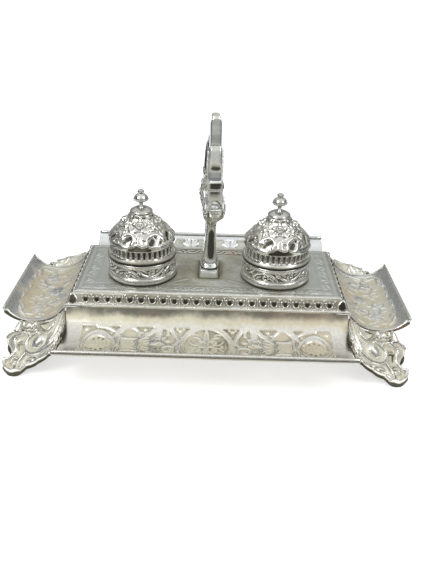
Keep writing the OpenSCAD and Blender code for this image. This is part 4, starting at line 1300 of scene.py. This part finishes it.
def lyre_leaves(length):
    """The lyre's carving: u follows its outline from the shank to the top, v goes over the edge."""
    sheet = Relief(np.arange(0, length + LEAF_PITCH, LEAF_PITCH),
                   np.arange(-LEAF_REACH, LEAF_REACH + LEAF_PITCH, LEAF_PITCH))
    leaf(sheet.on(4), [0, 9 + 0.2j, 19, 27], 4.4, 1.5, 6)
    leaf(sheet.on(26), [0, 5, 10, 15], 4.6, 1.4, 5)
    for side in (1, -1):
        leaf(sheet.on(9 + side * 6.5j), [0, 8 + side * 2j, 16 + side * 1j, 24 - side * 1j], 3.4, 1.3, 5)
        leaf(sheet.on(15 + side * 12.5j), [0, 7 + side * 2j, 14 + side * 3j, 20 + side * 1j], 3.2, 1.2, 4)
        leaf(sheet.on(52 + side * 11j), [0, 8 - side * 1j, 20, 32], 2.6, 0.9, 5)
        start = 180 * (side < 0)
        sheet.line(curl(30 + side * 12j, 5.2, 1.2, start, start + side * 480, 34), 0.9, 1.3, 0.1)
        sheet.ball(30 + side * 12j, 1.6, 1.5)
        sheet.stroke([40 + side * 9j, 50 + side * 13j, 64 + side * 10.5j, 78 + side * 11j], (0.7,), 0.9)
        for k in range(8):
            sheet.ball(45 + 5.2 * k + side * 9.4j, 0.8, 0.7)
    sheet.soften()
    return sheet


def both_sides(half):
    """A half outline followed by its mirror image."""
    return np.vstack((half, (half * (-1, 1))[-2:0:-1]))


def lyre():
    """The loop about the finger hole, with leaves on its lower limbs."""
    outer = np.array([(0, 34.0), (3, 34.0), (6.2, 34.2)] + HANDLE_SIDE[7:] + [(2.2, 118.8), (0, 119.0)])
    run = np.concatenate(([0], np.cumsum(np.hypot(*np.diff(outer, axis=0).T))))
    at = np.union1d(np.arange(0, run[-1], LYRE_PITCH), run)
    half = np.stack([np.interp(at, run, outer[:, k]) for k in (0, 1)], 1)
    # The hole's outline, met by rays from the lyre's heart through the points of the outer one
    gap = np.array(HANDLE_GAP)
    fine = np.linspace(0, len(gap) - 1, 600)
    gap = np.stack([np.interp(fine, range(len(gap)), gap[:, k]) for k in (0, 1)], 1)
    angle, gap_angle = (np.arctan2(line[:, 1] - HANDLE_HEART, line[:, 0]) for line in (half, gap))
    whole = both_sides(half)
    inner = both_sides(np.stack([np.interp(angle, gap_angle, gap[:, k]) for k in (0, 1)], 1))
    out, over = section(56, 3.4)
    wide = np.interp(whole[:, 1], *np.array(HANDLE_FRONT).T[::-1])
    middle, reach = (whole + inner) / 2, (whole - inner) / 2
    spread = np.concatenate((at, run[-1] * 2 - at[-2:0:-1]))
    spread = np.where(spread <= run[-1], spread, 2 * run[-1] - spread)
    sheet = lyre_leaves(run[-1])
    face_v = np.cumsum(np.hypot(np.diff(out, append=out[0]) * 8, np.diff(over, append=over[0]) * 7))
    face_v = face_v - face_v[0]
    total = face_v[-1] + face_v[1]
    face_v = np.where(face_v > total / 2, face_v - total, face_v)
    grow = sample(sheet, sheet.height, spread[:, None], face_v) * 0.8
    cavity = sample(sheet, sheet.hollow(5, 0.35), spread[:, None], face_v)
    deep = 1 + grow * np.maximum(abs(out), 0.2) / np.maximum(np.hypot(*reach.T)[:, None], 3)
    y, z = (middle[:, k, None] + reach[:, k, None] * out * deep for k in (0, 1))
    x = (wide[:, None] + grow * abs(over) - 0.4) * over
    # Painted reflections and shade: pale panels, the lower one darkening downwards, and a dark band round the
    # ring below it.
    shade = np.interp(z, [34, 42, 60, 67, 68.6, 69.6, 73.4, 74.6, 80, 83, 87, 97, 99, 104, 116, 118],
                      [0.5, 0.1, 0.35, 1.1, -0.4, 1.1, 1.1, -0.5, -0.3, 1.1, 0.2, -0.6, 0.3, -0.5, -0.5, 0.6])
    shade = np.where(shade > 0, shade * np.exp(-(over / 0.8) ** 6), shade)
    return np.stack((x, y, z), -1), 1.6 * cavity + shade


def set_handle(points):
    """Leans the casting a little, turns it on its stud and sets it on the block."""
    x = points[..., 0] + HANDLE_LEAN * np.maximum(points[..., 2] - 4, 0)
    c, s = math.cos(math.radians(HANDLE_TURN)), math.sin(math.radians(HANDLE_TURN))
    y, z = points[..., 1], points[..., 2] + BLOCK_TOP + JOINT_GAP
    return np.stack((x * c - y * s, x * s + y * c, z), -1)


parts = [loft(set_handle(points), hollow, closed)
         for (points, hollow), closed in ((column(), False), (lyre(), True))]
made = piece("handle_casting", parts, handle_silver)
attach(made, "stand")
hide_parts("handle")

# The plinth's steps: painted shade at its foot, on its lower step and under the handle, and a painted
# highlight along its top edge.
height = np.array([46.0, 46.0, 46.6, 47.2, 51.2, 51.7, 52.0, 52.0])[:, None]
inset = np.array([1.5, 0.1, 0.0, 0.55, 0.6, 0.75, 1.3, 3.0])[:, None]
shade = np.array([0.5, 0.5, 0.2, 0.6, 0.1, -0.3, -0.2, 0.5])[:, None]
out, over = section(64, 16.0)
points = np.stack(((BLOCK_X - inset) * out, (BLOCK_Y - inset) * over, height + 0 * out), -1)
made = piece("handle_plinth", [loft(points, shade + 0 * out)], handle_silver)
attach(made, "stand")
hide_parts("handle_block")


# ---- Ink wells -------------------------------------------------------------------------
# Each well is a chased drum with a hinged domed lid. The lid rises from two bright rings and a
# fluted neck to a dome that is embossed with roses, leaf scrolls and deep pierced-looking shadows.
DRUM_IN, DRUM_WALL = 23.9, 25.7
LID_Z = 63.0
LID_IN = 22.8
BORE_R = 1.5
WELL_STEPS, WELL_PITCH = 400, 0.4
DOME_SCALE = 20.0
FLUTES, SCROLLS_ROUND = 36, 8
well_silver = silver("well_silver", (0.78, 0.78, 0.74), (0.34, 0.33, 0.26), (0.04, 0.036, 0.025))


def even(profile, pitch):
    """The profile's own corners and even places between them."""
    profile = np.array(profile, float)
    run = np.concatenate(([0], np.cumsum(np.hypot(*np.diff(profile, axis=0).T))))
    at = np.union1d(run, np.arange(0, run[-1], pitch))
    at = at[np.concatenate(([True], np.diff(at) > 0.02))]
    return np.stack([np.interp(at, run, profile[:, k]) for k in (0, 1)], 1), at


def turned(profile, lining, chase, scale, sunk):
    """A turned and chased shell. chase(u, v, z) makes the outer profile's relief: u is the angle times
    scale, v goes up the profile in the same drawing scale, and z is the height at each v."""
    outer, run = even(profile, WELL_PITCH)
    middle = (outer[1:, 0] + outer[:-1, 0]) / 2
    rise = np.concatenate(([0], np.cumsum(np.diff(run) * scale / middle)))
    angle = np.linspace(-math.pi, math.pi, WELL_STEPS, endpoint=False)
    sheet = chase(angle * scale, rise, outer[:, 1])
    ahead = unit_rows(np.gradient(outer, axis=0))
    normal = np.stack((ahead[:, 1], -ahead[:, 0]), 1)
    for _ in range(2):
        normal[1:-1] = (normal[:-2] + 2 * normal[1:-1] + normal[2:]) / 4
    lining = np.array(lining, float)
    radius, level = (np.hstack((outer[:, k] + normal[:, k] * sheet.height,
                                np.tile(lining[:, k], (WELL_STEPS, 1)))) for k in (0, 1))
    # Painted shadow along the bottom edge, where the drum stands on the plate and the lid sits on the drum.
    shade = sheet.hollow(4, 0.42, sunk) + 1.8 * np.exp(-((outer[:, 1] - outer[0, 1]) / 1.9) ** 2)
    hollow = np.hstack((shade, np.full((WELL_STEPS, len(lining)), 0.25)))
    points = np.stack((radius * np.sin(angle)[:, None], -radius * np.cos(angle)[:, None], level), -1)
    return loft(points, hollow, True)


def start_band(u, v, z, levels, sunk):
    """A relief with a sunk band between two levels; its length all round and the band's places."""
    sheet = Relief(u, v)
    low, high = (float(np.interp(level, z, v)) for level in levels)
    left, right = u[0] - 1, u[-1] + 1
    sheet.fill([left + 1j * low, right + 1j * low, right + 1j * high, left + 1j * high], sunk, "cut")
    sheet.ground = -sunk
    return sheet, u[-1] - u[0] + u[1] - u[0], low, high


DRUM_PROFILE = [(DRUM_IN + 0.4, 0.03), (26.6, 0.03), (27.0, 0.5), (27.0, 1.8), (26.9, 2.8), (26.5, 4.0),
                (26.7, 4.25), (27.0, 4.6), (27.05, 4.9), (27.0, 5.2), (26.5, 5.7), (25.8, 6.0), (25.6, 6.4),
                (25.6, 13.8), (25.8, 14.1), (26.4, 14.4), (26.65, 14.9), (26.7, 15.5), (26.6, 16.1),
                (26.2, 16.58), (DRUM_IN + 0.4, 16.6)]


def drum_relief(u, v, z):
    """A running leaf scroll between the base moulding and the ring."""
    sheet, whole, low, high = start_band(u, v, z, (6.5, 13.7), 0.45)
    length = whole / SCROLLS_ROUND
    for k in range(-1, SCROLLS_ROUND + 1):
        unit = sheet.on(u[0] + (k + 0.5) * length + 1j * (low + high) / 2)
        way = 1 if k % 2 else -1
        unit.stroke([-length * 0.55 - way * 2.6j, -length * 0.3 + way * 1.2j, way * 2.7j,
                     length * 0.28 + way * 1.0j, length * 0.5 - way * 2.6j], (0.5, 1.5, 0.5), 1.2)
        unit.line(curl(0.3 - way * 0.7j, 3.0, 0.8, 80 * way, 80 * way - 400, 26), 0.7, 1.1, 0.1)
        rosette(unit.on(length * 0.5 + way * 1.6j), 5, 2.3, 1.1)
        for side in (-1, 1):
            leaf(unit.on(side * length * 0.27 - way * 1.8j, -way * side * 30), [-1.9, 0.3j, 2.2], 0.9, 0.8)
    for edge in (low + 0.1, high - 0.1):
        sheet.line([u[0] + 1j * edge, u[-1] + 1j * edge], 0.35, 0.6)
    sheet.soften()
    return sheet


DOME = [(24.8, 10.4), (25.7, 11), (26.2, 12.2), (26.1, 13.6), (25, 15.6), (22.8, 18.2), (20.4, 20.8),
        (17.4, 23.6), (14.2, 26.2), (11.8, 28.4), (10.2, 30.4), (9.4, 32), (8.6, 33.3), (7.8, 34)]
LID_PROFILE = [(LID_IN + 0.3, 0.02), (26.2, 0.02), (26.6, 0.4), (26.75, 0.9), (26.7, 1.6), (26.4, 2.1),
               (25.9, 2.5), (25.4, 2.9), (24.9, 3.6), (24.4, 4.4), (24.3, 5.2), (24.3, 9.3), (24.5, 10.1),
               *DOME, (BORE_R + 0.5, 34.02)]


# The dome's forms, about the foot of each rose: raised lines with half widths, height and flat share
DOME_LINES = (
    # Two smooth shell lobes meet beside a dark, plain gap.
    ([-17 + 2.2j, -12 + 3.2j, -7.5 + 3.2j, -4.2 + 3.8j, -1.4 + 5.4j], (2.3, 0.6), 0.9, 0.1, "raise"),
    ([6.0 + 3.4j, 9.1 + 3.8j, 13 + 3.4j, 16 + 2.6j], (0.8, 2.2), 0.9, 0.1, "raise"),
    ([-4.4 + 2.1j, 1.0 + 3.2j, 5.6 + 2.3j], (2.3, 2.3), 1.3, 0.3, "cut"))
# Deep hollows between the leaves: centre, half length, half width and depth
DOME_HOLLOWS = ((-7.4 + 9.2j, 1.2 + 0.9j, 1.6, 1.1), (-11.4 + 6.4j, 1.6 - 0.2j, 1.2, 0.9),
                (8.8 + 7.0j, 0.8 + 1.0j, 1.7, 1.1), (13.4 + 8.6j, 0.9 - 2.4j, 1.2, 1.1))
# Scrolls that arch over them, with their half widths
DOME_SCROLLS = (([-14.2 + 7.4j, -12.4 + 10.6j, -8.4 + 12.9j, -4.6 + 11.6j, -3.4 + 8.4j, -4.2 + 5.6j], 1.2),
                ([5.4 + 9.6j, 7.6 + 11.4j, 11.6 + 12.4j, 15.4 + 10.8j, 17.4 + 6.4j], 1.3),
                ([3.0 + 9.8j, 5.2 + 8.0j, 4.8 + 5.4j, 2.4 + 4.6j], 1.0))
# Leaves between the flowers and under the collar: place, direction and half length
DOME_LEAVES = ((-8.2 + 16.6j, 145, 3.6), (8.2 + 16.2j, 35, 3.6), (-12.0 + 27.0j, 60, 4.2),
               (11.4 + 26.8j, 120, 4.2), (-15.8 + 32.0j, 90, 4.0), (0.4 + 34.4j, 90, 3.2))


def lid_relief(u, v, z):
    """Flutes on the neck, then lobes, shadowed hollows, leaf scrolls and roses over the dome."""
    sheet, whole, low, top = start_band(u, v, z, (4.5, 9.9), 1.0)
    foot = float(np.interp(10.4, z, v))
    for k in range(FLUTES):
        x = u[0] + (k + 0.5) * whole / FLUTES
        sheet.line([x + 1j * (low + 0.2), x + 1j * (low + 2.4), x + 1j * top], [1.25, 1.0, 0.55], 1.35)
        sheet.ball(x + 1j * (low + 0.7), 1.2, 1.6)
    sheet.ground = -0.25
    quarter = whole / 4
    for k in range(-1, 5):
        here = sheet.on(k * quarter + 1j * foot)
        here.line([-quarter / 2 + 0.5j, quarter / 2 + 0.5j], 0.55, 0.5)
        for stroke in DOME_LINES:
            here.stroke(*stroke)
        for centre, way, wide, depth in DOME_HOLLOWS:
            here.line([centre - way, centre + way], wide, depth, 0.2, "cut")
        for run, wide in DOME_SCROLLS:
            here.stroke(run, (wide,), 1.1)
        leaf(here.on(0.6 + 8.4j, 92), [-3.0, 0.4j, 4.2], 2.8, 1.1, 3)
        for run in ([-20.5 + 4.6j, -17.6 + 8.0j, -15.0 + 12.0j], [20.0 + 6.0j, 18.6 + 10.0j, 17.6 + 14.0j]):
            leaf(here, run, 2.0, 1.0, 2)
        for spot, way, size in DOME_LEAVES:
            leaf(here.on(spot, way), [-size * 0.8, 0.4j, size * 0.8], 2.1, 0.9, 1)
        for spot in (6.4 + 33.6j, -5.6 + 33.8j):
            here.line([spot - 2.0, spot + 2.0], 1.5, 0.9, 0.2, "cut")
        rose = here.on(0.2 + 22.4j)
        rosette(rose, 5, 9.6, 1.3, 18)
        rosette(rose, 5, 6.4, 2.2, 54)
        rose.line(arc(0, 3.2, 0, 360, 20), 0.8, 2.8, 0.1)
        rose.ball(0, 1.5, 2.6)
        small = here.on(-quarter / 2 + 19.6j)
        rosette(small, 5, 6.4, 1.5, 10)
        small.line(arc(0, 2.4, 0, 360, 16), 0.8, 1.5, 0.1)
    sheet.soften(3)
    # Only the deep places count as low.
    sheet.ground = -0.9
    return sheet


drum_lining = [(DRUM_IN, level) for level in (16.2, 10, 4, 0.4)]
drum_mesh = turned(DRUM_PROFILE, drum_lining, drum_relief, DRUM_WALL, 0.75)
lining = [(BORE_R, 33.8), (BORE_R, 32.5)] + [(r - 1.9, level - 1.5) for r, level in DOME[:4:-1]]
lining += [(LID_IN, 12.8), (LID_IN, 6), (LID_IN, 0.5)]
lid_mesh = turned(LID_PROFILE, lining, lid_relief, DOME_SCALE, 0.9)
for side_name, side in (("left", -1), ("right", 1)):
    for name, source, height, body in (("drum", drum_mesh, TOP_Z, "stand"),
                                       ("lid", lid_mesh, LID_Z, side_name + "_cover")):
        made = piece(f"{side_name}_{name}_chased", [source.copy()], well_silver)
        made.data.transform(Matrix.Translation(Vector((side * WELL_X, WELL_Y, height)) * MM))
        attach(made, body)
        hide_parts(f"{side_name}_{name}")
bpy.data.meshes.remove(drum_mesh)
bpy.data.meshes.remove(lid_mesh)

# ---- Fittings --------------------------------------------------------------------------
# The turned collars and knobs are polished silver plate. Under the stand and inside the wells
# there are dull tinned brass, old yellow brass, blackened steel and pressed clear glass.
knob_silver = silver("knob_silver", (0.74, 0.74, 0.72), (0.34, 0.32, 0.26), (0.07, 0.055, 0.035),
                     age=0.1, gloss=0.14, grain=0.3)


def aged_metal(name, colour, tarnish, rough, coarse):
    """A plain metal with cloudy tarnish and file marks."""
    material, tree, shader = new_material(name)
    place = node(tree, "ShaderNodeTexCoord").outputs["Object"]
    mask = remap(tree, noise(tree, place, coarse, 5.0, 0.6), 0.38, 0.66)
    feed(tree, shader, {"Metallic": 1.0, "Base Color": mixed(tree, mask, (*colour, 1), (*tarnish, 1)),
                        "Roughness": remap(tree, mask, start=rough, end=rough + 0.25)})
    marks = node(tree, "ShaderNodeMapping", Vector=place, Scale=(1400, 200, 1400)).outputs[0]
    bumped(tree, shader, noise(tree, marks, 1.0, 2.0), 0.25, 0.0002)
    return material


tinned_brass = aged_metal("tinned_brass", (0.52, 0.5, 0.44), (0.36, 0.29, 0.17), 0.38, 60.0)
yellow_brass = aged_metal("yellow_brass", (0.62, 0.46, 0.2), (0.3, 0.2, 0.09), 0.3, 120.0)
black_steel = aged_metal("black_steel", (0.11, 0.11, 0.115), (0.17, 0.1, 0.06), 0.42, 160.0)

GLASS, INK_FILM = (0.93, 0.96, 0.95, 1), (0.5, 0.56, 0.68, 1)
pot_glass, tree, shader = new_material("pot_glass")
place = node(tree, "ShaderNodeTexCoord").outputs["Object"]
ink = noise(tree, place, 90.0, 4.0)
feed(tree, shader, {"Metallic": 0.0, "Transmission Weight": 1.0, "IOR": 1.5,
                    "Base Color": mixed(tree, remap(tree, ink, 0.5, 0.8), GLASS, INK_FILM),
                    "Roughness": remap(tree, ink, start=0.02, end=0.12)})
bumped(tree, shader, noise(tree, place, 210.0, 1.0), 0.12, 0.0005)

FITTINGS = {
    knob_silver: ("left_collar", "right_collar", "left_finial", "right_finial"),
    tinned_brass: ("platform_frame", "left_hinge_leaf", "right_hinge_leaf", "left_lid_leaf",
                   "right_lid_leaf"),
    yellow_brass: ("corner_blocks", "handle_nut", "handle_washer", "left_finial_nut", "right_finial_nut",
                   "left_hinge_pin", "right_hinge_pin"),
    black_steel: ("foot_screws", "drum_screws", "handle_stud"),
    pot_glass: ("left_liner", "right_liner"),
}
for material, names in FITTINGS.items():
    for name in names:
        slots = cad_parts[name].data.materials
        slots.clear()
        slots.append(material)
